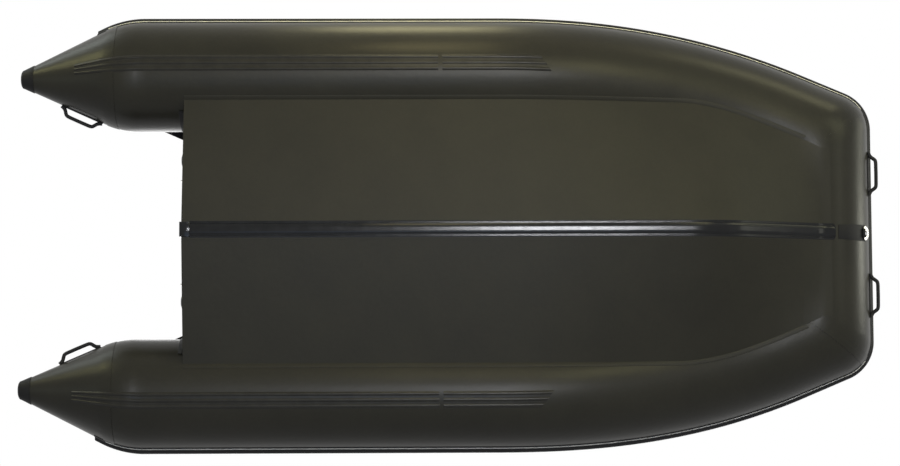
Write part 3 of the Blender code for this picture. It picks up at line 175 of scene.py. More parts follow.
# Rub strakes and the grey line in them, in degrees round the tube and metres above it
STRAKE_CREST = [
    (-9.4, 0.0030), (-8.4, 0.0062), (-7.2, 0.0112), (-6.0, 0.0134), (-2.2, 0.0140), (-1.6, 0.0130),
    (1.6, 0.0130), (2.2, 0.0140), (6.0, 0.0134), (7.2, 0.0112), (8.4, 0.0062), (9.4, 0.0030),
]
STRAKE_WIDE = [(-17.2, 0.0016), (-16.6, 0.0026)] + STRAKE_CREST + [(16.6, 0.0026), (17.2, 0.0016)]
STRAKE_NARROW = [(-10.3, 0.0022), (-10.0, 0.0028)] + STRAKE_CREST + [(10.0, 0.0028), (10.3, 0.0022)]
STRAKE_START = 0.288
LINE_START = 0.330
LINE_ANGLE = -14.2
LINE_SHAPE = ((-1.0, 0.0024), (-0.7, 0.0042), (0.7, 0.0042), (1.0, 0.0024))

# Handles: where they stand, the pad's section, and half of the grip's path as run and height
BOW_HANDLE_OFFSET = 0.235
BOW_HANDLE_ANGLE = 345.0
STERN_HANDLE_STATION = 0.229
STERN_HANDLE_ANGLE = 180.0
PAD_REACH = 0.0865
PAD_HALF_WIDTH = 0.015
PAD_STEP = 0.04
PAD_SHAPE = (
    (-1.0, EDGE_SUNK), (-1.0, 0.0026), (-0.86, 0.0040), (-0.4, 0.0044), (0.0, 0.0045), (0.4, 0.0044),
    (0.86, 0.0040), (1.0, 0.0026), (1.0, EDGE_SUNK),
)
GRIP_HALF = (
    (-0.0830, 0.0030), (-0.0740, 0.0070), (-0.0660, 0.0125), (-0.0600, 0.0205), (-0.0530, 0.0285),
    (-0.0430, 0.0312), (-0.0220, 0.0316), (0.0, 0.0318),
)
GRIP_AROUND = 16
GRIP_FOOT_ROWS = 8
GRIP_WIDTHS = (0.0085, 0.0040)
GRIP_DEPTHS = (0.0070, 0.0008)
GRIP_POWER = 0.75

# Screws: section as height and width for a radius of 1
SCREW_SECTION = (
    (0.0, 1.15), (0.10, 1.45), (0.16, 1.42), (0.18, 1.05), (0.40, 0.95), (0.58, 0.70), (0.66, 0.30),
    (0.52, 0.22), (0.50, 0.0),
)
SCREW_AROUND = 16
PAD_SCREW_RADIUS = 0.0040
PAD_SCREW_INSET = 0.016
PAD_SCREW_SHIFT = 0.010
EYE_SCREW_RADIUS = 0.0026
EYE_PLATE_WALL = 0.0025
EYE_SCREW_INSET = 0.006

Section = namedtuple("Section", "centre out up wide high")

# Stage
WORLD_HORIZON = 0.40
WORLD_LEVELS = (0.035, 0.45)
FLOOR_SIZE = 60.0
FLOOR_DROP = -0.0005
FLOOR_MATT_SHARE = 0.50
FLOOR_GLOW_SHARE = 0.98
SENSOR_WIDTH = 36.0

# Soft lamps: name, place, width and height in metres, watts before the gain, and colour
LAMP_AIM = Vector((0.0, 0.0, 0.15))
LAMP_GAIN = 1.8
LAMPS = (
    ("bow_quarter", (5.9, -1.4, 1.8), (2.0, 1.6), 12.0, (1.0, 1.0, 0.75)),
    ("bow_low", (4.9, -2.7, -3.0), (2.4, 1.8), 32.0, (1.0, 1.0, 0.60)),
    ("bow_side", (3.2, -4.0, -0.35), (0.9, 0.8), 14.0, (1.0, 0.95, 0.55)),
    ("bow_window", (3.9, -0.1, 0.95), (0.7, 0.45), 6.5, (1.0, 1.0, 0.85)),
    ("bow_keel", (4.3, -0.45, -2.5), (0.8, 0.8), 4.0, (1.0, 1.0, 0.85)),
    ("bow_under", (1.5, -1.5, -2.5), (0.7, 0.9), 10.0, (1.0, 0.94, 0.48)),
    ("side_window", (-0.15, -2.9, 0.9), (0.8, 0.6), 11.0, (1.0, 0.92, 0.50)),
    ("side_low", (2.2, -5.9, -1.4), (2.4, 1.8), 4.0, (1.0, 0.85, 0.50)),
    ("mid_side", (-0.1, -1.7, -0.6), (0.45, 0.4), 3.0, (1.0, 0.86, 0.42)),
    ("mid_under", (0.1, -1.5, -2.5), (0.8, 0.9), 6.5, (1.0, 0.90, 0.50)),
    ("stern_quarter", (-4.2, -4.8, 1.4), (2.4, 1.8), 36.0, (0.90, 0.98, 0.94)),
    ("cone_side", (-3.4, -2.6, -0.95), (0.9, 0.7), 16.0, (1.0, 0.96, 0.45)),
    ("under_stern", (-5.6, 0.0, -3.1), (2.4, 1.8), 6.0, (0.85, 1.0, 0.90)),
    ("under", (0.0, 2.1, -10.0), (3.6, 2.6), 30.0, (0.40, 0.62, 1.0)),
    ("keel_strip", (0.95, -0.75, -9.1), (1.3, 0.6), 180.0, (0.94, 0.95, 1.0)),
    ("port_strip", (0.4, 2.7, -9.0), (1.3, 0.6), 9.0, (0.85, 0.90, 1.0)),
    ("starboard_strip", (0.4, -4.4, -9.0), (1.3, 0.6), 12.0, (0.88, 0.93, 1.0)),
    ("overhead", (0.4, 0.2, 6.0), (5.0, 5.0), 145.0, (1.0, 1.0, 1.0)),
)


def length_property(label, text, value):
    """A setting that is a length."""
    return bpy.props.FloatProperty(name=label, description=text, default=value, unit="LENGTH")


class DinghySizes(bpy.types.PropertyGroup):
    """Sizes of the seams, trim and stage."""

    tape_width: length_property("Tape Width", "Width of the seam tapes on the tubes", 0.042)
    tape_wall: length_property("Tape Thickness", "Thickness of the seam tapes", 0.0018)
    welt_width: length_property("Welt Width", "Width of the lap along the bottom's seam", 0.020)
    welt_wall: length_property("Welt Thickness", "Thickness of the lap along the bottom's seam", 0.0022)
    pucker: length_property("Pucker", "Depth of the puckers beside a seam", 0.0007)
    panel_belly: length_property("Panel Belly", "How far the bottom panels swell", 0.003)
    line_width: length_property("Line Width", "Width of the grey line moulded into the rub strake", 0.0095)
    camera_lens: bpy.props.FloatProperty(
        name="Lens", description="Focal length in millimetres on a 36 mm wide sensor", default=97.4249)
    camera_place: bpy.props.FloatVectorProperty(
        name="Camera Place", description="Where the camera stands beneath the boat", size=3, unit="LENGTH",
        default=(-0.1573, 0.7532, -9.0089))
    camera_turns: bpy.props.FloatVectorProperty(
        name="Camera Turns", description="Turns of the camera about X, Y and Z from straight up", size=3,
        default=(0.0816, 0.0145, 0.0039))


def linear(text):
    """A linear colour from an sRGB hex value."""
    found = []
    for index in (1, 3, 5):
        value = int(text[index:index + 2], 16) / 255
        found.append(value / 12.92 if value <= 0.04045 else ((value + 0.055) / 1.055) ** 2.4)
    return found


def colour_property(label, text, value):
    """A colour setting whose default is an sRGB hex value."""
    return bpy.props.FloatVectorProperty(
        name=label, description=text, subtype="COLOR", size=3, min=0.0, max=1.0, default=linear(value))


class DinghyColours(bpy.types.PropertyGroup):
    """Colours of the dinghy's finishes and of the stage."""

    tube: colour_property("Tube", "Coated fabric of the tubes", "#25241E")
    bottom: colour_property("Bottom", "Coated fabric of the bottom", "#25241E")
    rubber: colour_property("Rubber", "Moulded strakes, handles and patches", "#161617")
    guard: colour_property("Keel Guard", "Extruded guard and its end cap", "#1A1B1E")
    strip: colour_property("Wear Strip", "Ribbed strips under the tubes", "#2B2A26")
    # The strake line is a grey line moulded into the strake; its colour is lifted near white as a painted
    # highlight along the strake
    line: colour_property("Strake Line", "Grey line in the rub strake", "#E2E0D8")
    lining: colour_property("Lining", "Uncoated inner fabric", "#8E8C84")
    wood: colour_property("Plywood", "Varnished birch plywood", "#B48B58")
    paint: colour_property("Painted Ply", "Grey paint on the transom", "#3B3D40")
    aluminium: colour_property("Aluminium", "Anodised profiles", "#C3C5C8")
    stainless: colour_property("Stainless", "Polished stainless steel", "#CFCDC8")
    plastic: colour_property("Plastic", "Black moulded plastic", "#242426")
    valve: colour_property("Valve Plastic", "Grey moulded plastic", "#6E7073")
    floor: colour_property("Floor", "Pale studio floor", "#E9E9E9")


# Working in the viewport's way

def select_only(made):
    """Leaves one piece selected and active."""
    bpy.ops.object.select_all(action="DESELECT")
    made.select_set(True)
    bpy.context.view_layer.objects.active = made


def weld(made, distance=0.00002):
    """Merges a piece's doubled points and turns its faces outwards."""
    select_only(made)
    bpy.ops.object.mode_set(mode="EDIT")
    bpy.ops.mesh.select_all(action="SELECT")
    bpy.ops.mesh.remove_doubles(threshold=distance)
    bpy.ops.mesh.normals_make_consistent(inside=False)
    bpy.ops.object.mode_set(mode="OBJECT")
    return made


def modify(made, kind, **settings):
    """Adds a modifier and applies it."""
    select_only(made)
    change = made.modifiers.new(kind.title(), kind)
    for key, value in settings.items():
        setattr(change, key, value)
    bpy.ops.object.modifier_apply(modifier=change.name)
    return made


def soften(made, angle=math.radians(35)):
    """Smooth shading with creases left at the sharp edges."""
    select_only(made)
    bpy.ops.object.shade_smooth_by_angle(angle=angle)
    return made


def panel(name, rows, columns, place):
    """A flat panel cut as a grid and laid on its form: place(row, column) gives each corner's point."""
    bpy.ops.object.select_all(action="DESELECT")
    bpy.ops.mesh.primitive_grid_add(x_subdivisions=rows, y_subdivisions=columns, size=2.0)
    made = bpy.context.object
    made.name = name
    made.data.name = name
    if len(made.data.vertices) != (rows + 1) * (columns + 1):
        raise RuntimeError("the panel's grid has another count of corners than its rows and columns")
    for vertex in made.data.vertices:
        row = round((vertex.co.x + 1) / 2 * rows)
        column = round((vertex.co.y + 1) / 2 * columns)
        vertex.co = place(row, column)
    return weld(made)


def fit(made, material, body, slot, *nodes):
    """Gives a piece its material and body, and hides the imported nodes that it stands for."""
    made.data.materials.clear()
    made.data.materials.append(material)
    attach(made, body)
    if nodes:
        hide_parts(*nodes)
    return made


def body_of(node):
    """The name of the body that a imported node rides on."""
    return frame["nodes"][node]["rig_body"]


def slot_of(node):
    """The record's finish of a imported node."""
    for part in frame["record"]["subparts"]:
        if part["node"] == node:
            return part["material_slot"]
    raise RuntimeError("the record has no finish for " + node)


def dressed(node, material, width, segments=2, angle=math.radians(30)):
    """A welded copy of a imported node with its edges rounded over."""
    made = frame["nodes"][node].copy()
    made.data = frame["nodes"][node].data.copy()
    made.name = node + "_dressed"
    made.parent = None
    made.matrix_world = Matrix.Identity(4)
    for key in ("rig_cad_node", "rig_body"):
        if key in made:
            del made[key]
    bpy.context.scene.collection.objects.link(made)
    weld(made)
    bpy.ops.object.mode_set(mode="EDIT")
    bpy.ops.mesh.select_all(action="SELECT")
    bpy.ops.mesh.dissolve_limited(angle_limit=math.radians(1.0))
    bpy.ops.object.mode_set(mode="OBJECT")
    if width > 0:
        modify(made, "BEVEL", width=width, segments=segments, limit_method="ANGLE", angle_limit=angle,
               use_clamp_overlap=True)
    soften(made)
    return fit(made, material, body_of(node), slot_of(node), node)


# Form of the tubes

def cone_radius(station):
    """Radius of the cone and its shoulder at a station."""
    if station <= SHOULDER_START:
        return TIP_RADIUS + (station - TIP_STATION) * math.tan(CONE_ANGLE)
    lead = max(SHOULDER_END - station, 0.0)
    return TUBE_RADIUS - SHOULDER_RADIUS + math.sqrt(SHOULDER_RADIUS ** 2 - lead ** 2)


def upright_section(side, station, radius):
    """A round section of a cone or of a straight tube, square to X."""
    share = max(SHOULDER_END - station, 0.0) / SHOULDER_END
    centre = Vector((STERN + station, side * (HALF_SPACING - TIP_TOE * share), TUBE_LEVEL - TIP_DROP * share))
    return Section(centre, SIDEWAYS * side, UP, radius, radius)


def bend_path():
    """Stations, offsets and headings along the side tubes' bend, which tightens towards the bow."""
    chord = BEND_LENGTH / BEND_STEPS
    found = [(BEND_START, HALF_SPACING, 0.0)]
    for step in range(BEND_STEPS):
        middle = BEND_ANGLE * ((step + 0.5) / BEND_STEPS) ** BEND_EASE
        heading = BEND_ANGLE * ((step + 1) / BEND_STEPS) ** BEND_EASE
        station, offset, _ = found[-1]
        found.append((station + chord * math.cos(middle), offset - chord * math.sin(middle), heading))
    return found


BEND_PATH = bend_path()
# Lengths of a side tube aft of its bend: start, end and how many sections each has
STRAIGHT_LENGTHS = (
    (TIP_STATION, SHOULDER_START, 8), (SHOULDER_START, CONE_SEAM, 6), (CONE_SEAM, SHOULDER_END, 10),
    (SHOULDER_END, BEND_START, 40),
)
BOW_STATION = BEND_PATH[-1][0] + MITRE_RUN * math.cos(BEND_ANGLE)
BOW_OFFSET = BEND_PATH[-1][1] - MITRE_RUN * math.sin(BEND_ANGLE)
BOW_LEVEL = TUBE_LEVEL + BOW_RISE
KEEL_CLIMB = BOW_LEVEL - PACKED_RADIUS - SKIN_LEVEL - GLUE_GAP
KEEL_BEND_RUN = KEEL_BEND_RADIUS * math.sin(KEEL_SWEEP)
KEEL_BEND_CLIMB = KEEL_BEND_RADIUS * (1 - math.cos(KEEL_SWEEP))
KEEL_RISE_START = BOW_STATION - KEEL_BEND_RUN - (KEEL_CLIMB - KEEL_BEND_CLIMB) / math.tan(KEEL_SWEEP)


def corner_section(corner, along, out, share):
    """A slanting section near the mitre: share 0 is where the outer rounding starts, and 1 is the mitre."""
    turn = CORNER_ANGLE * share
    slack = CREASE * (1 - share)
    inner = corner - along * (TUBE_RADIUS * math.tan(CORNER_ANGLE) + slack) - out * TUBE_RADIUS
    reach = (TUBE_RADIUS - CORNER_RADIUS) * math.tan(CORNER_ANGLE) + CORNER_RADIUS * math.sin(turn)
    outer = corner + along * reach + out * (TUBE_RADIUS - CORNER_RADIUS + CORNER_RADIUS * math.cos(turn))
    across = outer - inner
    return Section((outer + inner) / 2, across.normalized(), UP, across.length / 2, TUBE_RADIUS)


def side_form(side):
    """Close sections of one side, from the cone's tip to the mitre at the bow."""
    stations = []
    for start, end, count in STRAIGHT_LENGTHS:
        stations += [start + (end - start) * step / count for step in range(count)]
    stations.append(BEND_START)
    found = [upright_section(side, station, cone_radius(station)) for station in stations]
    for step, (station, offset, turn) in enumerate(BEND_PATH[1:], 1):
        share = step / BEND_STEPS
        level = TUBE_LEVEL + BOW_RISE * (1 - math.cos(math.pi * share)) / 2
        climb = BOW_RISE * math.pi / 2 * math.sin(math.pi * share)
        pitch = math.atan(climb / BEND_LENGTH)
        centre = Vector((STERN + station, side * offset, level))
        out = Vector((math.sin(turn), side * math.cos(turn), 0.0))
        lean = math.sin(pitch)
        up = Vector((-lean * math.cos(turn), side * lean * math.sin(turn), math.cos(pitch)))
        found.append(Section(centre, out, up, TUBE_RADIUS, TUBE_RADIUS))
    along = Vector((math.cos(BEND_ANGLE), -side * math.sin(BEND_ANGLE), 0.0))
    out = Vector((math.sin(BEND_ANGLE), side * math.cos(BEND_ANGLE), 0.0))
    corner = Vector((STERN + BOW_STATION, side * BOW_OFFSET, BOW_LEVEL))
    for step in range(CORNER_STEPS + 1):
        found.append(corner_section(corner, along, out, step / CORNER_STEPS))
    return found


def bow_form():
    """Close sections of the bow tube from the port mitre to the starboard mitre."""
    found = []
    for side in (1, -1):
        corner = Vector((STERN + BOW_STATION, side * BOW_OFFSET, BOW_LEVEL))
        half = [corner_section(corner, SIDEWAYS * side, FORWARD, step / CORNER_STEPS)
                for step in range(CORNER_STEPS + 1)]
        found.append(half)
    middle = []
    one = found[0][0]
    two = found[1][0]
    for step in range(1, BOW_SECTIONS):
        share = step / BOW_SECTIONS
        out = one.out.lerp(two.out, share)
        middle.append(Section(one.centre.lerp(two.centre, share), out, UP,
                              one.wide + (two.wide - one.wide) * share, TUBE_RADIUS))
    return found[0][::-1] + middle + found[1]


FORMS = {side: side_form(side) for side in SIDES.values()}
BOW = bow_form()


def section_at(form, run):
    """The section at a run, which counts sections and may lie between two."""
    first = max(min(int(run), len(form) - 2), 0)
    share = run - first
    one = form[first]
    two = form[first + 1]
    return Section(
        one.centre.lerp(two.centre, share), one.out.lerp(two.out, share), one.up.lerp(two.up, share),
        one.wide + (two.wide - one.wide) * share, one.high + (two.high - one.high) * share)


def on_form(form, run, angle, lift=0.0):
    """A point over a tube's skin."""
    section = section_at(form, run)
    turn = math.radians(angle)
    return (section.centre + section.out * ((section.wide + lift) * math.cos(turn))
            + section.up * ((section.high + lift) * math.sin(turn)))


def run_at(form, station):
    """The run where a side tube's axis reaches a station."""
    x = STERN + station
    for index in range(len(form) - 1):
        low = form[index].centre.x
        high = form[index + 1].centre.x
        if x <= high:
            return index + (x - low) / (high - low)
    return float(len(form) - 1)


def bow_run(y, angle=270.0):
    """The run of the bow tube whose skin reaches an offset at an angle."""
    for index in range(len(BOW) - 1):
        one = on_form(BOW, index, angle).y
        two = on_form(BOW, index + 1, angle).y
        if two <= y <= one:
            return index + (one - y) / (one - two)
    raise RuntimeError("the bow tube doesn't reach that offset")


def whole_runs(first, last):
    """A first run and the whole runs after it, up to the last."""
    return [first] + [float(index) for index in range(int(first) + 1, int(last) + 1)]


def spread(low, high, step):
    """Values from low to high, evenly, no further apart than step."""
    count = max(int(math.ceil((high - low) / step)), 1)
    return [low + (high - low) * index / count for index in range(count + 1)]


def band(name, form, runs, profile, shift=None):
    """A strip glued on a tube. The profile holds (angle, lift) pairs, and shift moves a run by angle."""
    full = []
    for (angle, lift), (next_angle, next_lift) in zip(profile, profile[1:]):
        steps = max(int(abs(next_angle - angle) / BAND_STEP), 1)
        for step in range(steps):
            share = step / steps
            full.append((angle + (next_angle - angle) * share, lift + (next_lift - lift) * share))
    full.append(profile[-1])
    full = [(full[0][0], SUNK)] + full + [(full[-1][0], SUNK)]
    rows = [runs[0]] + list(runs) + [runs[-1]]

    def place(row, column):
        angle, lift = full[column]
        run = rows[row]
        if shift is not None:
            run = shift(run, angle)
        ended = row in (0, len(rows) - 1)
        return on_form(form, run, angle, SUNK if ended else lift)

    return panel(name, len(rows) - 1, len(full) - 1, place)


# Materials

def surface(name):
    """A new material's node tree, its shader and a source of object coordinates."""
    made = bpy.data.materials.new(name)
    made.use_nodes = True
    tree = made.node_tree
    coords = tree.nodes.new("ShaderNodeTexCoord")
    return made, tree, tree.nodes["Principled BSDF"], coords.outputs["Object"]


def add(tree, kind, settings=None, **inputs):
    """Adds a node, sets its properties, and fills or links its inputs, whose names have _ for a space."""
    made = tree.nodes.new(kind)
    for key, value in (settings or {}).items():
        setattr(made, key, value)
    for key, value in inputs.items():
        label = key.replace("_", " ")
        target = made.inputs[int(key[1:])] if key[0] == "i" and key[1:].isdigit() else made.inputs[label]
        if isinstance(value, bpy.types.NodeSocket):
            tree.links.new(value, target)
        else:
            target.default_value = value
    return made


def shades(colour, *factors):
    """Lighter and darker versions of a colour."""
    return [[min(channel * factor, 1.0) for channel in colour] + [1.0] for factor in factors]


def ramp(tree, factor, stops):
    """A colour ramp with its stops as (place, colour) pairs."""
    made = add(tree, "ShaderNodeValToRGB", Fac=factor)
    elements = made.color_ramp.elements
    for index, (place, colour) in enumerate(stops):
        if index >= len(elements):
            elements.new(place)
        elements[index].position = place
        elements[index].color = colour
    return made.outputs["Color"]


def span(tree, value, low, high):
    """Maps a 0 to 1 value on to a range."""
    return add(tree, "ShaderNodeMapRange", Value=value, To_Min=low, To_Max=high).outputs["Result"]


def noise(tree, place, scale, detail, **more):
    """The factor of a noise texture."""
    return add(tree, "ShaderNodeTexNoise", Vector=place, Scale=scale, Detail=detail, **more).outputs["Fac"]


def drawn_out(tree, place, share):
    """Coordinates in which a texture is drawn long across the boat."""
    return add(tree, "ShaderNodeMapping", Vector=place, Scale=(1.0, share, 1.0)).outputs["Vector"]


def relief(tree, strength, distance, height, **more):
    """The normal of a surface with this height on it."""
    made = add(tree, "ShaderNodeBump", Strength=strength, Distance=distance, Height=height, **more)
    return made.outputs["Normal"]


def maths(tree, operation, one, two):
    """The result of a maths node on two values or sockets."""
    return add(tree, "ShaderNodeMath", {"operation": operation}, i0=one, i1=two).outputs["Value"]


def wire(tree, shader, tint, rough, normal):
    """Links a finish's colour, roughness and normal to its shader."""
    tree.links.new(tint, shader.inputs["Base Color"])
    tree.links.new(rough, shader.inputs["Roughness"])
    tree.links.new(normal, shader.inputs["Normal"])


def coated_fabric(name, colour, roughness):
    """PVC-coated polyester: calendered and matt, with the cloth's weave and soft handling marks in it."""
    made, tree, shader, place = surface(name)
    # Clouding about 200 mm across from the calender and 12 mm mottle from handling
    clouds = noise(tree, place, 5.0, 3.0, Roughness=0.55)
    mottle = noise(tree, place, 80.0, 4.0, Roughness=0.6)
    mixed = add(tree, "ShaderNodeMix", {"data_type": "FLOAT"}, Factor=0.35, i2=clouds, i3=mottle)
    dark, plain, pale = shades(colour, 0.82, 1.0, 1.17)
    tint = ramp(tree, mixed.outputs["Result"], ((0.32, dark), (0.5, plain), (0.68, pale)))
    rough = span(tree, mixed.outputs["Result"], roughness - 0.05, roughness + 0.06)
    # The weave's threads are 1 mm apart and drawn 3 mm apart so that they show
    weave = add(tree, "ShaderNodeTexVoronoi", {"distance": "CHEBYCHEV"}, Vector=place, Scale=333.0,
                Randomness=0.35)
    grain = noise(tree, place, 45.0, 5.0)
    low = relief(tree, 0.10, 0.0006, weave.outputs["Distance"])
    high = relief(tree, 0.12, 0.004, grain, Normal=low)
    wire(tree, shader, tint, rough, high)
    shader.inputs["IOR"].default_value = 1.52
    shader.inputs["Specular IOR Level"].default_value = 0.15
    return made


def moulded_rubber(name, colour, roughness, scuff):
    """Moulded EPDM rubber: dense black with a fine mould grain and slightly greyed scuffs."""
    made, tree, shader, place = surface(name)
    speck = noise(tree, place, 400.0, 3.0)
    wear = noise(tree, place, 22.0, 6.0, Roughness=0.65)
    dark, plain, pale = shades(colour, 0.85, 1.0, scuff)
    tint = ramp(tree, wear, ((0.40, dark), (0.55, plain), (0.80, pale)))
    rough = span(tree, wear, roughness - 0.06, roughness + 0.10)
    wire(tree, shader, tint, rough, relief(tree, 0.15, 0.0004, speck))
    shader.inputs["IOR"].default_value = 1.50
    shader.inputs["Specular IOR Level"].default_value = 0.15
    return made


def varnished_plywood(name, colour):
    """Birch plywood: long grain under satin varnish, with a fine non-slip grit in it."""
    made, tree, shader, place = surface(name)
    # Grain runs across the boat, with figure 25 mm wide
    long = drawn_out(tree, place, 0.07)
    figure = noise(tree, long, 40.0, 6.0, Roughness=0.6, Distortion=0.5)
    pores = noise(tree, long, 600.0, 2.0)
    dark, plain, pale = shades(colour, 0.66, 1.0, 1.22)
    tint = ramp(tree, figure, ((0.34, dark), (0.52, plain), (0.70, pale)))
    rough = span(tree, pores, 0.36, 0.52)
    # Non-slip grit 2 mm apart
    grit = add(tree, "ShaderNodeTexVoronoi", Vector=place, Scale=500.0)
    wire(tree, shader, tint, rough, relief(tree, 0.25, 0.0005, grit.outputs["Distance"]))
    shader.inputs["Coat Weight"].default_value = 0.25
    shader.inputs["Coat Roughness"].default_value = 0.3
    return made


def painted_plywood(name, colour):
    """Plywood under brushed marine enamel: even grey with faint brush marks and rubbed patches."""
    made, tree, shader, place = surface(name)
    strokes = noise(tree, drawn_out(tree, place, 0.06), 260.0, 3.0)
    rubbed = noise(tree, place, 9.0, 5.0, Roughness=0.6)
    dark, plain, pale = shades(colour, 0.88, 1.0, 1.18)
    tint = ramp(tree, rubbed, ((0.35, dark), (0.52, plain), (0.75, pale)))
    rough = span(tree, rubbed, 0.34, 0.50)
    wire(tree, shader, tint, rough, relief(tree, 0.12, 0.0006, strokes))
    return made


def brushed_metal(name, colour, roughness, brushing):
    """Metal with fine lines along its length: anodised extrusion, or steel polished after bending."""
    made, tree, shader, place = surface(name)
    # Lines about 0.5 mm apart, drawn long across the boat
    lines = noise(tree, drawn_out(tree, place, 0.03), 2000.0, 2.0)
    dull = noise(tree, place, 60.0, 4.0)
    dark, pale = shades(colour, 0.90, 1.0)
    tint = ramp(tree, dull, ((0.35, dark), (0.6, pale)))
    rough = span(tree, dull, roughness - 0.03, roughness + 0.07)
    wire(tree, shader, tint, rough, relief(tree, brushing, 0.0002, lines))
    shader.inputs["Metallic"].default_value = 1.0
    return made


def moulded_plastic(name, colour, roughness):
    """Glass-filled nylon from a spark-eroded mould: fine even grain with a soft sheen."""
    made, tree, shader, place = surface(name)
    grain = noise(tree, place, 900.0, 2.0)
    flow = noise(tree, place, 30.0, 3.0)
    dark, pale = shades(colour, 0.90, 1.10)
    tint = ramp(tree, flow, ((0.35, dark), (0.65, pale)))
    rough = span(tree, flow, roughness - 0.04, roughness + 0.06)
    wire(tree, shader, tint, rough, relief(tree, 0.18, 0.0003, grain))
    return made


FINISHES = {}


def make_finishes():
    """Every finish of the boat, by name."""
    colours = bpy.context.scene.dinghy_colours
    FINISHES["tube"] = coated_fabric("tube_pvc_calendered", colours.tube, 0.34)
    FINISHES["bottom"] = coated_fabric("bottom_pvc_calendered", colours.bottom, 0.47)
    FINISHES["lining"] = coated_fabric("inner_cloth_uncoated", colours.lining, 0.75)
    FINISHES["rubber"] = moulded_rubber("trim_rubber_moulded", colours.rubber, 0.55, 1.35)
    FINISHES["guard"] = moulded_rubber("guard_rubber_extruded", colours.guard, 0.13, 1.3)
    FINISHES["strip"] = moulded_rubber("strip_pvc_extruded", colours.strip, 0.22, 1.15)
    # The line's near-white colour is partly its own grey and partly a painted highlight along the strake
    FINISHES["line"] = moulded_rubber("line_rubber_grey_painted_highlight", colours.line, 0.40, 1.1)
    FINISHES["wood"] = varnished_plywood("floor_birch_ply_varnished", colours.wood)
    FINISHES["paint"] = painted_plywood("transom_ply_enamelled", colours.paint)
    FINISHES["aluminium"] = brushed_metal("joiner_aluminium_anodised", colours.aluminium, 0.38, 0.25)
    FINISHES["stainless"] = brushed_metal("ring_stainless_polished", colours.stainless, 0.20, 0.05)
    FINISHES["plastic"] = moulded_plastic("fitting_nylon_black", colours.plastic, 0.45)
    FINISHES["valve"] = moulded_plastic("valve_nylon_grey", colours.valve, 0.48)


# Pieces

def puckered(station, angle, seams, depth):
    """How far the skin stands in or out beside the seams at these stations."""
    total = 0.0
    for seam in seams:
        away = abs(station - seam)
        turn = math.radians(angle)
        ripple = math.sin(turn * 37 + seam * 50) + 0.6 * math.sin(turn * 23 + 1.7)
        total += depth * ripple * math.exp(-(away / PUCKER_REACH) ** 2)
    return total


def rolled(name, form, first, last, seams):
    """A tube of fabric rolled from a panel, between two runs."""
    depth = bpy.context.scene.dinghy_sizes.pucker
    runs = whole_runs(first, math.ceil(last) - 1) + [last]

    def place(row, column):
        angle = 360.0 * (column % AROUND) / AROUND
        section = section_at(form, runs[row])
        lift = puckered(section.centre.x - STERN, angle, seams, depth)
        return on_form(form, runs[row], angle, lift)

    made = panel(name, len(runs) - 1, AROUND, place)
    return soften(made, math.radians(50))


class DINGHY_OT_tubes(bpy.types.Operator):
    """Rolls the side tubes, the bow tube and the stern cones from fabric"""

    bl_idname = "dinghy.tubes"
    bl_label = "Air Tubes"

    def execute(self, context):
        for name, side in SIDES.items():
            form = FORMS[side]
            seam = run_at(form, CONE_SEAM)
            made = rolled(name + "_tube_fabric", form, seam, float(len(form) - 1), (CONE_SEAM, BOW_STATION))
            fit(made, FINISHES["tube"], "hull", "tube_fabric", name + "_tube")
            made = rolled(name + "_cone_fabric", form, 0.0, seam, (CONE_SEAM,))
            fit(made, FINISHES["tube"], "hull", "tube_fabric", name + "_cone")
            self.tip(name, side)
        made = rolled("bow_tube_fabric", BOW, 0.0, float(len(BOW) - 1), ())
        fit(made, FINISHES["tube"], "hull", "tube_fabric", "bow_tube")
        for name in SIDES:
            frame["nodes"][name + "_bulkhead"].data.materials[0] = FINISHES["lining"]
        return {"FINISHED"}

    def tip(self, name, side):
        """The moulded tip: a rounded cap with a lip where it ends on the cone."""
        flat, curved = TIP_BLUNT_SHARES
        profile = [(0.0, 0.0)]
        for step in range(TIP_STEPS + 1):
            turn = math.pi / 2 * step / TIP_STEPS
            radius = (TIP_RADIUS + TIP_WALL) * (flat + curved * math.sin(turn))
            profile.append((TIP_STATION * (1 - math.cos(turn)), radius))
        lip = TIP_END - TIP_LIP
        profile.append((lip, cone_radius(lip) + TIP_WALL))
        profile.append((TIP_END, cone_radius(TIP_END) + TIP_WALL * 0.6))
        profile.append((TIP_END, cone_radius(TIP_END) + EDGE_SUNK))

        def place(row, column):
            station, radius = profile[row]
            section = upright_section(side, station, radius)
            turn = 2 * math.pi * (column % TIP_AROUND) / TIP_AROUND
            return (section.centre + section.out * (radius * math.cos(turn))
                    + section.up * (radius * math.sin(turn)))

        made = soften(panel(name + "_tip_moulding", len(profile) - 1, TIP_AROUND, place))
        fit(made, FINISHES["rubber"], "hull", "moulded_rubber", name + "_cone_tip")


class DINGHY_OT_tapes(bpy.types.Operator):
    """Lays tapes over the seams of the tubes"""

    bl_idname = "dinghy.tapes"
    bl_label = "Seam Tapes"

    def execute(self, context):
        sizes = context.scene.dinghy_sizes
        half = sizes.tape_width / 2
        wall = sizes.tape_wall
        for name, side in SIDES.items():
            form = FORMS[side]
            runs = [run_at(form, CONE_SEAM + share * half) for share in TAPE_SHARES]
            self.ring(name + "_cone_tape", form, runs, wall)
            last = len(form) - 1
            self.ring(name + "_mitre_tape", form, [last - back for back in MITRE_TAPE_RUNS], wall)
        last = len(BOW) - 1
        self.ring("port_bow_tape", BOW, list(reversed(MITRE_TAPE_RUNS)), wall)
        self.ring("starboard_bow_tape", BOW, [last - back for back in MITRE_TAPE_RUNS], wall)
        return {"FINISHED"}

    def ring(self, name, form, runs, wall):
        """A tape right round a tube."""
        lifts = [EDGE_SUNK] + [wall] * len(runs) + [EDGE_SUNK]
        rows = [runs[0]] + list(runs) + [runs[-1]]

        def place(row, column):
            return on_form(form, rows[row], 360.0 * (column % AROUND) / AROUND, lifts[row])

        made = soften(panel(name, len(rows) - 1, AROUND, place))
        fit(made, FINISHES["tube"], "hull", "tube_fabric")


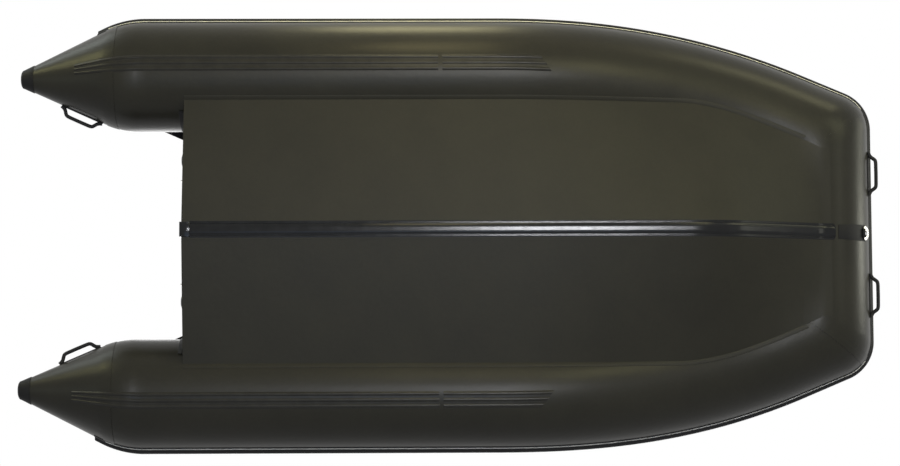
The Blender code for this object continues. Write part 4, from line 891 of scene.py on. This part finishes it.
def keel_line(station):
    """Height of the keel guard's underside."""
    if station > BOW_STATION:
        return KEEL_CLIMB + (station - BOW_STATION) * LAP_SLOPE
    run = station - KEEL_RISE_START
    if run <= 0:
        return 0.0
    if run <= KEEL_BEND_RUN:
        return KEEL_BEND_RADIUS - math.sqrt(KEEL_BEND_RADIUS ** 2 - run ** 2)
    return KEEL_BEND_CLIMB + (run - KEEL_BEND_RUN) * math.tan(KEEL_SWEEP)


def seam_angle(form, run):
    """Where round the tube the bottom skin is glued."""
    section = section_at(form, run)
    reach = max(abs(section.centre.y) - SEAM_OFFSET, 0.0) / abs(section.out.y)
    straight = 270.0 - math.degrees(math.asin(min(reach / section.wide, 1.0)))
    excess = max(straight - SEAM_LIMIT + SEAM_EASE, 0.0)
    return straight if excess == 0.0 else SEAM_LIMIT - SEAM_EASE * math.exp(-excess / SEAM_EASE)


def bottom_rows(side):
    """Rows of points under the bottom, each from the keel to the seam."""
    form = FORMS[side]
    first = run_at(form, TRANSOM_STATION)
    last = len(form) - 1 - CORNER_STEPS
    found = []
    for run in whole_runs(first, last):
        seam = on_form(form, run, seam_angle(form, run), SEAM_LIFT)
        found.append((seam.x, seam.y, seam.z))
    start = Vector(found[-1])
    level = BOW_LEVEL - TUBE_RADIUS - SEAM_LIFT
    for lap, steps in LAP_STEPS:
        x = STERN + BOW_STATION + lap
        end = Vector((x, side * SEAM_END_OFFSET, level + lap * LAP_SLOPE - LAP_DROP))
        for step in range(1, steps + 1):
            point = start.lerp(end, step / steps)
            found.append((point.x, point.y, point.z))
        start = end
    return found


class DINGHY_OT_bottom(bpy.types.Operator):
    """Lays the two bottom panels, the laps along their seams and the band under the keel"""

    bl_idname = "dinghy.bottom"
    bl_label = "Bottom"

    def execute(self, context):
        sizes = context.scene.dinghy_sizes
        for name, side in SIDES.items():
            rows = bottom_rows(side)

            def place(row, column, rows=rows, side=side):
                x, y, z = rows[row]
                level = keel_line(x - STERN) + SKIN_LEVEL - SKIN_WALL
                if x - STERN > BOW_STATION:
                    level = z
                if column <= FLAT_COLUMNS:
                    return Vector((x, side * KEEL_FLAT_HALF * column / FLAT_COLUMNS, level))
                share = (column - FLAT_COLUMNS) / (PANEL_COLUMNS - FLAT_COLUMNS)
                fade = min(max((BOW_STATION + STERN - x) / BELLY_FADE, 0.0), 1.0)
                belly = sizes.panel_belly * math.sin(math.pi * share) * fade
                return Vector((x, side * KEEL_FLAT_HALF + (y - side * KEEL_FLAT_HALF) * share,
                               level + (z - level) * share - belly))

            made = panel(name + "_bottom_panel", len(rows) - 1, PANEL_COLUMNS, place)
            area = sum(face.area for face in made.data.polygons)
            modify(made, "SOLIDIFY", thickness=SKIN_WALL, offset=-1.0 if self.faces_down(made) else 1.0)
            fit(soften(made), FINISHES["bottom"], "hull", "bottom_fabric", name + "_bottom_skin")
            self.cut(rows, place)
            self.welt(name, side, rows, sizes)
        self.band(sizes)
        return {"FINISHED"}

    def cut(self, rows, place):
        """Width and length of the cloth that a panel is cut from."""
        width = max((place(row, PANEL_COLUMNS) - place(row, 0)).length for row in range(len(rows)))
        length = sum((place(row + 1, 0) - place(row, 0)).length for row in range(len(rows) - 1))
        return width, length

    def faces_down(self, made):
        """True where most of a panel's faces look down."""
        return sum(face.normal.z * face.area for face in made.data.polygons) < 0

    def welt(self, name, side, rows, sizes):
        """The lap of the panel's edge on the side tube."""
        form = FORMS[side]
        first = run_at(form, TRANSOM_STATION)
        last = len(form) - 1 - CORNER_STEPS
        runs = whole_runs(first, last + 4)
        half_turn = math.degrees(sizes.welt_width / 2 / TUBE_RADIUS)
        wall = sizes.welt_wall
        shape = ((-1.0, SUNK), (-1.0, wall * 0.8), (-0.8, wall), (0.8, wall), (1.0, wall * 0.6), (1.0, SUNK))

        def place(row, column):
            share, lift = shape[column]
            run = runs[row]
            middle = seam_angle(form, min(run, last)) + half_turn * 0.6
            return on_form(form, run, middle + half_turn * share, lift)

        made = soften(panel(name + "_seam_lap", len(runs) - 1, len(shape) - 1, place))
        fit(made, FINISHES["bottom"], "hull", "bottom_fabric")

    def band(self, sizes):
        """The fabric band that covers the two panels' joint, under the guard."""
        stations = spread(TRANSOM_STATION + 0.004, BOW_STATION + 0.026, 0.03)
        inner = KEEL_BAND_HALF * KEEL_BAND_SHARE
        starboard = [-KEEL_BAND_HALF, -KEEL_BAND_HALF, -inner, -KEEL_FLAT_HALF]
        offsets = starboard + [0.0] + [-y for y in reversed(starboard)]
        drops = [0.0] + [KEEL_BAND_WALL] * (len(offsets) - 2) + [0.0]

        def place(row, column):
            station = stations[row]
            y = offsets[column]
            level = keel_line(station) + SKIN_LEVEL - SKIN_WALL
            slope = max(abs(y) - KEEL_FLAT_HALF, 0.0) * self.rise(station)
            return Vector((STERN + station, y, level + slope - drops[column] + GLUE_GAP))

        made = soften(panel("keel_band", len(stations) - 1, len(offsets) - 1, place))
        fit(made, FINISHES["bottom"], "hull", "bottom_fabric")

    def rise(self, station):
        """How steeply the panels leave the keel at a station."""
        form = FORMS[1]
        run = min(run_at(form, station), len(form) - 1 - CORNER_STEPS)
        seam = on_form(form, run, seam_angle(form, run))
        level = keel_line(min(station, BOW_STATION)) + SKIN_LEVEL - SKIN_WALL
        return max(seam.z - level, 0.0) / (seam.y - KEEL_FLAT_HALF)


class DINGHY_OT_keel(bpy.types.Operator):
    """Moulds the keel guard and its end cap"""

    bl_idname = "dinghy.keel"
    bl_label = "Keel Guard"

    def execute(self, context):
        outline = list(GUARD_HALF) + [(-y, z) for y, z in reversed(GUARD_HALF)]
        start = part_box("keel_guard")[0].x - STERN
        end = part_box("keel_guard")[1].x - STERN
        stations = spread(start, end - GUARD_TAPER, GUARD_STEP)
        shares = [1.0] * len(stations)
        stations += [end - back for back, _ in GUARD_NOSE]
        shares += [share for _, share in GUARD_NOSE]

        def place(row, column):
            y, z = outline[column]
            level = keel_line(stations[row])
            return Vector((STERN + stations[row], y * shares[row], level + z))

        made = panel("keel_guard_moulding", len(stations) - 1, len(outline) - 1, place)
        fit(soften(made), FINISHES["guard"], "hull", "keel_rubber", "keel_guard")
        dressed("keel_end_cap", FINISHES["guard"], 0.0012)
        dressed("keel_tube", FINISHES["bottom"], 0.0)
        return {"FINISHED"}


class DINGHY_OT_strips(bpy.types.Operator):
    """Glues the ribbed wear strips under the tubes"""

    bl_idname = "dinghy.strips"
    bl_label = "Wear Strips"

    def execute(self, context):
        edge, top = STRIP_BASE
        first = STRIP_ANGLE - STRIP_HALF
        last = STRIP_ANGLE + STRIP_HALF
        profile = [(first, edge), (first + STRIP_SIDE, top)]
        for middle in (-STRIP_SPACING, 0.0, STRIP_SPACING):
            profile += [(STRIP_ANGLE + middle + away, lift) for away, lift in STRIP_RIB]
        profile += [(last - STRIP_SIDE, top), (last, edge)]
        for name, side in SIDES.items():
            form = FORMS[side]
            for length, start, end in STRIP_LENGTHS:
                stations = spread(start, end, STRIP_STEP)
                runs = [run_at(form, station) for station in stations]

                def slanted(run, angle, form=form, start=start, end=end):
                    station = section_at(form, run).centre.x - STERN
                    share = (angle - STRIP_ANGLE + STRIP_HALF) / (2 * STRIP_HALF)
                    along = (station - start) / (end - start)
                    return run_at(form, station - STRIP_SLANT * share * along)

                made = band(name + "_" + length + "_strip_moulding", form, runs, profile,
                            slanted if length == "forward" else None)
                fit(soften(made), FINISHES["strip"], "hull", "keel_rubber",
                    name + "_" + length + "_wear_strip")
        return {"FINISHED"}


class DINGHY_OT_strakes(bpy.types.Operator):
    """Moulds the rub strakes and the grey line in them"""

    bl_idname = "dinghy.strakes"
    bl_label = "Rub Strakes"

    def execute(self, context):
        sizes = context.scene.dinghy_sizes
        half_turn = math.degrees(sizes.line_width / 2 / TUBE_RADIUS)
        line = [(LINE_ANGLE + half_turn * share, lift) for share, lift in LINE_SHAPE]
        for name, side in SIDES.items():
            form = FORMS[side]
            last = len(form) - 1
            runs = whole_runs(run_at(form, STRAKE_START), last)
            made = band(name + "_strake_moulding", form, runs, STRAKE_WIDE)
            fit(soften(made), FINISHES["rubber"], "hull", "moulded_rubber", name + "_strake")
            made = band(name + "_strake_line", form, whole_runs(run_at(form, LINE_START), last), line)
            fit(soften(made), FINISHES["line"], "hull", "moulded_rubber")
        runs = [float(index) for index in range(len(BOW))]
        made = band("bow_strake_moulding", BOW, runs, STRAKE_NARROW)
        fit(soften(made), FINISHES["rubber"], "hull", "moulded_rubber", "bow_strake")
        return {"FINISHED"}


def eased_path(points, steps):
    """Points along a smooth curve through the given ones."""
    found = []
    for index in range(len(points) - 1):
        before = points[max(index - 1, 0)]
        one = points[index]
        two = points[index + 1]
        after = points[min(index + 2, len(points) - 1)]
        for step in range(steps):
            t = step / steps
            bend = 2 * before - 5 * one + 4 * two - after
            twist = 3 * one - before - 3 * two + after
            found.append(0.5 * (2 * one + (two - before) * t + bend * t ** 2 + twist * t ** 3))
    found.append(points[-1].copy())
    return found


class DINGHY_OT_handles(bpy.types.Operator):
    """Moulds the four carrying handles: a pointed pad on the tube and a grip over it"""

    bl_idname = "dinghy.handles"
    bl_label = "Handles"

    def execute(self, context):
        for name, side in SIDES.items():
            shares = spread(-1.0, 1.0, PAD_STEP)
            offset = side * BOW_HANDLE_OFFSET
            middle = bow_run(offset, BOW_HANDLE_ANGLE)
            runs = [bow_run(offset - PAD_REACH * share, BOW_HANDLE_ANGLE) for share in shares]
            self.handle(name + "_bow_handle", BOW, middle, runs, BOW_HANDLE_ANGLE)
            form = FORMS[side]
            middle = run_at(form, STERN_HANDLE_STATION)
            reach = PAD_REACH * math.cos(CONE_ANGLE)
            runs = [run_at(form, STERN_HANDLE_STATION + reach * share) for share in shares]
            self.handle(name + "_stern_handle", form, middle, runs, STERN_HANDLE_ANGLE)
        return {"FINISHED"}

    def handle(self, name, form, middle, runs, angle):
        """The pad, which follows the tube between two runs, and the grip that springs from it."""
        half_turn = math.degrees(PAD_HALF_WIDTH / section_at(form, middle).wide)
        last = len(runs) - 1

        def on_pad(row, column):
            share, lift = PAD_SHAPE[column]
            along = abs(2 * row / last - 1)
            width = min(1.0, (1.02 - along) / 0.24) * (1.0 - 0.12 * (1 - along))
            ended = row in (0, last)
            return on_form(form, runs[row], angle + half_turn * share * width, EDGE_SUNK if ended else lift)

        pad = panel(name + "_pad", last, len(PAD_SHAPE) - 1, on_pad)
        fit(soften(pad), FINISHES["rubber"], "hull", "moulded_rubber", name)
        centre = on_form(form, middle, angle)
        forward = (on_form(form, runs[-1], angle) - on_form(form, runs[0], angle)).normalized()
        turn = math.radians(angle)
        section = section_at(form, middle)
        round_way = section.up * math.cos(turn) - section.out * math.sin(turn)
        out = forward.cross(round_way).normalized()
        if out.dot(section.out * math.cos(turn) + section.up * math.sin(turn)) < 0:
            out = -out
        across = out.cross(forward).normalized()
        knots = [Vector((x, 0.0, z)) for x, z in GRIP_HALF]
        knots += [Vector((-x, 0.0, z)) for x, z in reversed(GRIP_HALF[:-1])]
        path = eased_path(knots, 4)

        def on_grip(row, column):
            point = path[row]
            ahead = path[min(row + 1, len(path) - 1)] - path[max(row - 1, 0)]
            ahead.normalize()
            normal = Vector((-ahead.z, 0.0, ahead.x))
            foot = max(1.0 - min(row, len(path) - 1 - row) / GRIP_FOOT_ROWS, 0.0)
            wide = GRIP_WIDTHS[0] + GRIP_WIDTHS[1] * foot
            thick = GRIP_DEPTHS[0] + GRIP_DEPTHS[1] * foot
            spin = 2 * math.pi * (column % GRIP_AROUND) / GRIP_AROUND
            y = math.copysign(abs(math.cos(spin)) ** GRIP_POWER, math.cos(spin)) * wide
            z = math.copysign(abs(math.sin(spin)) ** GRIP_POWER, math.sin(spin)) * thick
            local = point + normal * z
            return centre + forward * local.x + across * y + out * local.z

        grip = panel(name + "_grip", len(path) - 1, GRIP_AROUND, on_grip)
        fit(soften(grip), FINISHES["rubber"], "hull", "moulded_rubber")


class DINGHY_OT_tow_ring(bpy.types.Operator):
    """Rounds the tow ring's patch and smooths its stainless ring"""

    bl_idname = "dinghy.tow_ring"
    bl_label = "Tow Ring"

    def execute(self, context):
        dressed("bow_ring_patch", FINISHES["rubber"], 0.0008)
        made = dressed("bow_tow_ring", FINISHES["stainless"], 0.0)
        modify(made, "SUBSURF", levels=2, render_levels=2)
        soften(made, math.radians(80))
        return {"FINISHED"}


def bolt(name, place, radius, material):
    """A round-headed screw with a washer, standing on the place's x and y plane."""
    def corner(row, column):
        height, width = SCREW_SECTION[row]
        turn = 2 * math.pi * (column % SCREW_AROUND) / SCREW_AROUND
        wide = radius * width
        return place @ Vector((wide * math.cos(turn), wide * math.sin(turn), radius * height))

    made = soften(panel(name, len(SCREW_SECTION) - 1, SCREW_AROUND, corner))
    return fit(made, material, "hull", "stainless")


def facing(origin, normal):
    """A placing matrix with z on the normal."""
    turn = normal.to_track_quat("Z", "Y").to_matrix().to_4x4()
    return Matrix.Translation(origin) @ turn


class DINGHY_OT_transom(bpy.types.Operator):
    """Dresses the transom, its holders, knees, pads, eyes and drains"""

    bl_idname = "dinghy.transom"
    bl_label = "Transom"

    def execute(self, context):
        dressed("transom_board", FINISHES["paint"], 0.0025)
        for name in ("motor_pad_inner", "motor_pad_outer"):
            dressed(name, FINISHES["plastic"], 0.0010)
        for name in SIDES:
            dressed(name + "_transom_holder", FINISHES["rubber"], 0.0010)
            dressed(name + "_transom_knee", FINISHES["rubber"], 0.0010)
            dressed(name + "_tow_eye", FINISHES["stainless"], 0.0004)
            dressed(name + "_drain_fitting", FINISHES["plastic"], 0.0008)
            dressed(name + "_drain_plug", FINISHES["valve"], 0.0008)
        steel = FINISHES["stainless"]
        low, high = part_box("motor_pad_outer")
        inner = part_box("motor_pad_inner")[1]
        for row, z in (("low", low.z + PAD_SCREW_INSET), ("high", high.z - PAD_SCREW_INSET)):
            for way in (-1, 1):
                y = way * (high.y - PAD_SCREW_INSET - PAD_SCREW_SHIFT)
                label = "pad_screw_" + row + ("_port" if way > 0 else "_starboard")
                bolt(label + "_outer", facing(Vector((low.x, y, z)), -FORWARD), PAD_SCREW_RADIUS, steel)
                bolt(label + "_inner", facing(Vector((inner.x, y, z)), FORWARD), PAD_SCREW_RADIUS, steel)
        for name in SIDES:
            low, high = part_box(name + "_tow_eye")
            plate = high.x - EYE_PLATE_WALL
            for way in (-1, 1):
                z = (low.z + high.z) / 2 + way * ((high.z - low.z) / 2 - EYE_SCREW_INSET)
                place = facing(Vector((plate, (low.y + high.y) / 2, z)), -FORWARD)
                bolt(name + "_eye_screw_" + ("high" if way > 0 else "low"), place, EYE_SCREW_RADIUS, steel)
        return {"FINISHED"}


class DINGHY_OT_floor(bpy.types.Operator):
    """Dresses the floor boards and their joiners"""

    bl_idname = "dinghy.floor"
    bl_label = "Floor Boards"

    def execute(self, context):
        for name in ("aft_floor_board", "middle_floor_board", "bow_floor_board"):
            dressed(name, FINISHES["wood"], 0.0020)
        for name in ("aft_floor_joiner", "bow_floor_joiner"):
            dressed(name, FINISHES["aluminium"], 0.0004)
        return {"FINISHED"}


class DINGHY_OT_valves(bpy.types.Operator):
    """Dresses the air valves and their caps"""

    bl_idname = "dinghy.valves"
    bl_label = "Air Valves"

    def execute(self, context):
        for name in ("port", "starboard", "bow", "keel"):
            dressed(name + "_valve", FINISHES["valve"], 0.0006)
            dressed(name + "_valve_cap", FINISHES["plastic"], 0.0008)
        return {"FINISHED"}


class DINGHY_OT_bench(bpy.types.Operator):
    """Dresses the bench seat and its tracks"""

    bl_idname = "dinghy.bench"
    bl_label = "Bench"

    def execute(self, context):
        dressed("bench_seat", FINISHES["wood"], 0.0030, segments=3)
        for name in SIDES:
            dressed(name + "_bench_track", FINISHES["plastic"], 0.0006)
        return {"FINISHED"}


class DINGHY_OT_rowlocks(bpy.types.Operator):
    """Dresses the rowlocks and their bases"""

    bl_idname = "dinghy.rowlocks"
    bl_label = "Rowlocks"

    def execute(self, context):
        for name in SIDES:
            dressed(name + "_rowlock_base", FINISHES["rubber"], 0.0008)
            made = dressed(name + "_rowlock", FINISHES["plastic"], 0.0)
            modify(made, "SUBSURF", levels=1, render_levels=1)
            soften(made, math.radians(60))
        return {"FINISHED"}


class DINGHY_OT_stage(bpy.types.Operator):
    """Sets the floor, the world, the lamps and the camera"""

    bl_idname = "dinghy.stage"
    bl_label = "Stage"

    def execute(self, context):
        self.world(context.scene)
        self.floor(context.scene.dinghy_colours.floor)
        for lamp in LAMPS:
            self.lamp(*lamp)
        self.camera(context.scene)
        return {"FINISHED"}

    def background_rays(self, tree):
        """1 for the rays that show the white background: the camera's, and those of gloss and glass."""
        path = add(tree, "ShaderNodeLightPath")
        mirrored = maths(tree, "MAXIMUM", path.outputs["Is Glossy Ray"], path.outputs["Is Transmission Ray"])
        return maths(tree, "MAXIMUM", path.outputs["Is Camera Ray"], mirrored)

    def world(self, scene):
        """Soft surroundings, brighter above than below, that the camera, gloss and glass see as white."""
        scene.view_settings.view_transform = "Standard"
        made = bpy.data.worlds.new("studio")
        scene.world = made
        made.use_nodes = True
        tree = made.node_tree
        ground = tree.nodes["Background"]
        place = add(tree, "ShaderNodeTexCoord").outputs["Generated"]
        height = add(tree, "ShaderNodeSeparateXYZ", Vector=place).outputs["Z"]
        grade = add(tree, "ShaderNodeMapRange", {"interpolation_type": "SMOOTHSTEP"}, Value=height,
                    From_Min=WORLD_HORIZON, From_Max=1.0, To_Min=WORLD_LEVELS[0], To_Max=WORLD_LEVELS[1])
        tint = add(tree, "ShaderNodeCombineColor", Red=grade.outputs["Result"], Green=grade.outputs["Result"],
                   Blue=grade.outputs["Result"])
        mixed = add(tree, "ShaderNodeMix", {"data_type": "RGBA"}, Factor=self.background_rays(tree),
                    A=tint.outputs["Color"])
        mixed.inputs["B"].default_value = (1.0, 1.0, 1.0, 1.0)
        tree.links.new(mixed.outputs["Result"], ground.inputs["Color"])

    def floor(self, colour):
        """A pale floor with the boat's shadow, which shows from above and not from beneath."""
        bpy.ops.object.select_all(action="DESELECT")
        bpy.ops.mesh.primitive_plane_add(size=FLOOR_SIZE, location=(0.0, 0.0, FLOOR_DROP))
        made = bpy.context.object
        made.name = "studio_floor"
        finish = bpy.data.materials.new("floor_painted_matt")
        finish.use_nodes = True
        tree = finish.node_tree
        tree.nodes.remove(tree.nodes["Principled BSDF"])
        shaded, shining = shades(colour, FLOOR_MATT_SHARE, FLOOR_GLOW_SHARE)
        matt = add(tree, "ShaderNodeBsdfDiffuse", Color=shaded, Roughness=1.0)
        glow = add(tree, "ShaderNodeEmission", Color=shining, Strength=1.0)
        pale = add(tree, "ShaderNodeAddShader", i0=matt.outputs["BSDF"], i1=glow.outputs["Emission"])
        clear = add(tree, "ShaderNodeBsdfTransparent")
        # Gloss rays pass the floor, so that they meet the lamps beneath it or the world, which is as white
        path = add(tree, "ShaderNodeLightPath")
        seen = maths(tree, "MAXIMUM", path.outputs["Is Camera Ray"], path.outputs["Is Transmission Ray"])
        back = add(tree, "ShaderNodeNewGeometry").outputs["Backfacing"]
        front = maths(tree, "SUBTRACT", 1.0, back)
        shown = maths(tree, "MULTIPLY", seen, front)
        mixed = add(tree, "ShaderNodeMixShader", Fac=shown, i1=clear.outputs["BSDF"],
                    i2=pale.outputs["Shader"])
        tree.links.new(mixed.outputs["Shader"], tree.nodes["Material Output"].inputs["Surface"])
        made.data.materials.append(finish)

    def lamp(self, name, place, size, power, colour):
        """A soft rectangular lamp aimed at the middle of the boat, which the camera doesn't see."""
        data = bpy.data.lights.new(name + "_lamp", "AREA")
        data.shape = "RECTANGLE"
        data.size = size[0]
        data.size_y = size[1]
        data.energy = power * LAMP_GAIN
        data.color = colour
        made = bpy.data.objects.new(name + "_lamp", data)
        bpy.context.scene.collection.objects.link(made)
        made.visible_camera = False
        away = Vector(place) - LAMP_AIM
        side = Vector((1.0, 0.0, 0.0))
        side = (side - away * (side.dot(away) / away.length_squared)).normalized()
        back = away.normalized()
        up = back.cross(side)
        turn = Matrix((side, up, back)).transposed().to_4x4()
        made.matrix_world = Matrix.Translation(place) @ turn

    def camera(self, scene):
        """A long lens beneath the boat, with the bow to the right and starboard at the top."""
        sizes = scene.dinghy_sizes
        data = bpy.data.cameras.new("camera")
        data.sensor_fit = "HORIZONTAL"
        data.sensor_width = SENSOR_WIDTH
        data.lens = sizes.camera_lens
        about_x, about_y, about_z = sizes.camera_turns
        turn = (Matrix.Rotation(about_z, 3, "Z") @ Matrix.Rotation(about_y, 3, "Y")
                @ Matrix.Rotation(about_x, 3, "X"))
        right = turn @ FORWARD
        down = turn @ SIDEWAYS
        ahead = turn @ UP
        axes = Matrix((right, -down, -ahead)).transposed().to_4x4()
        made = bpy.data.objects.new("camera", data)
        scene.collection.objects.link(made)
        made.matrix_world = Matrix.Translation(sizes.camera_place) @ axes
        scene.camera = made


class DINGHY_PT_pieces(bpy.types.Panel):
    """Lists the dinghy's pieces and settings"""

    bl_label = "Dinghy"
    bl_idname = "DINGHY_PT_pieces"
    bl_space_type = "VIEW_3D"
    bl_region_type = "UI"
    bl_category = "Dinghy"

    def draw(self, context):
        for group in (context.scene.dinghy_sizes, context.scene.dinghy_colours):
            for name in group.bl_rna.properties.keys():
                if name not in ("rna_type", "name"):
                    self.layout.prop(group, name)
        for operator in OPERATORS:
            self.layout.operator(operator.bl_idname)


OPERATORS = (
    DINGHY_OT_tubes, DINGHY_OT_tapes, DINGHY_OT_bottom, DINGHY_OT_keel, DINGHY_OT_strips, DINGHY_OT_strakes,
    DINGHY_OT_handles, DINGHY_OT_tow_ring, DINGHY_OT_transom, DINGHY_OT_floor, DINGHY_OT_valves,
    DINGHY_OT_bench, DINGHY_OT_rowlocks, DINGHY_OT_stage,
)
CLASSES = (DinghySizes, DinghyColours, *OPERATORS, DINGHY_PT_pieces)


def register():
    """Registers the settings, the operators and the panel."""
    for each in CLASSES:
        bpy.utils.register_class(each)
    bpy.types.Scene.dinghy_sizes = bpy.props.PointerProperty(type=DinghySizes)
    bpy.types.Scene.dinghy_colours = bpy.props.PointerProperty(type=DinghyColours)


def unregister():
    """Takes away what register added."""
    del bpy.types.Scene.dinghy_colours
    del bpy.types.Scene.dinghy_sizes
    for each in reversed(CLASSES):
        bpy.utils.unregister_class(each)


def main():
    """Builds every piece in order."""
    register()
    make_finishes()
    bpy.ops.dinghy.tubes()
    bpy.ops.dinghy.tapes()
    bpy.ops.dinghy.bottom()
    bpy.ops.dinghy.keel()
    bpy.ops.dinghy.strips()
    bpy.ops.dinghy.strakes()
    bpy.ops.dinghy.handles()
    bpy.ops.dinghy.tow_ring()
    bpy.ops.dinghy.transom()
    bpy.ops.dinghy.floor()
    bpy.ops.dinghy.valves()
    bpy.ops.dinghy.bench()
    bpy.ops.dinghy.rowlocks()
    bpy.ops.dinghy.stage()


if __name__ == "__main__":
    main()
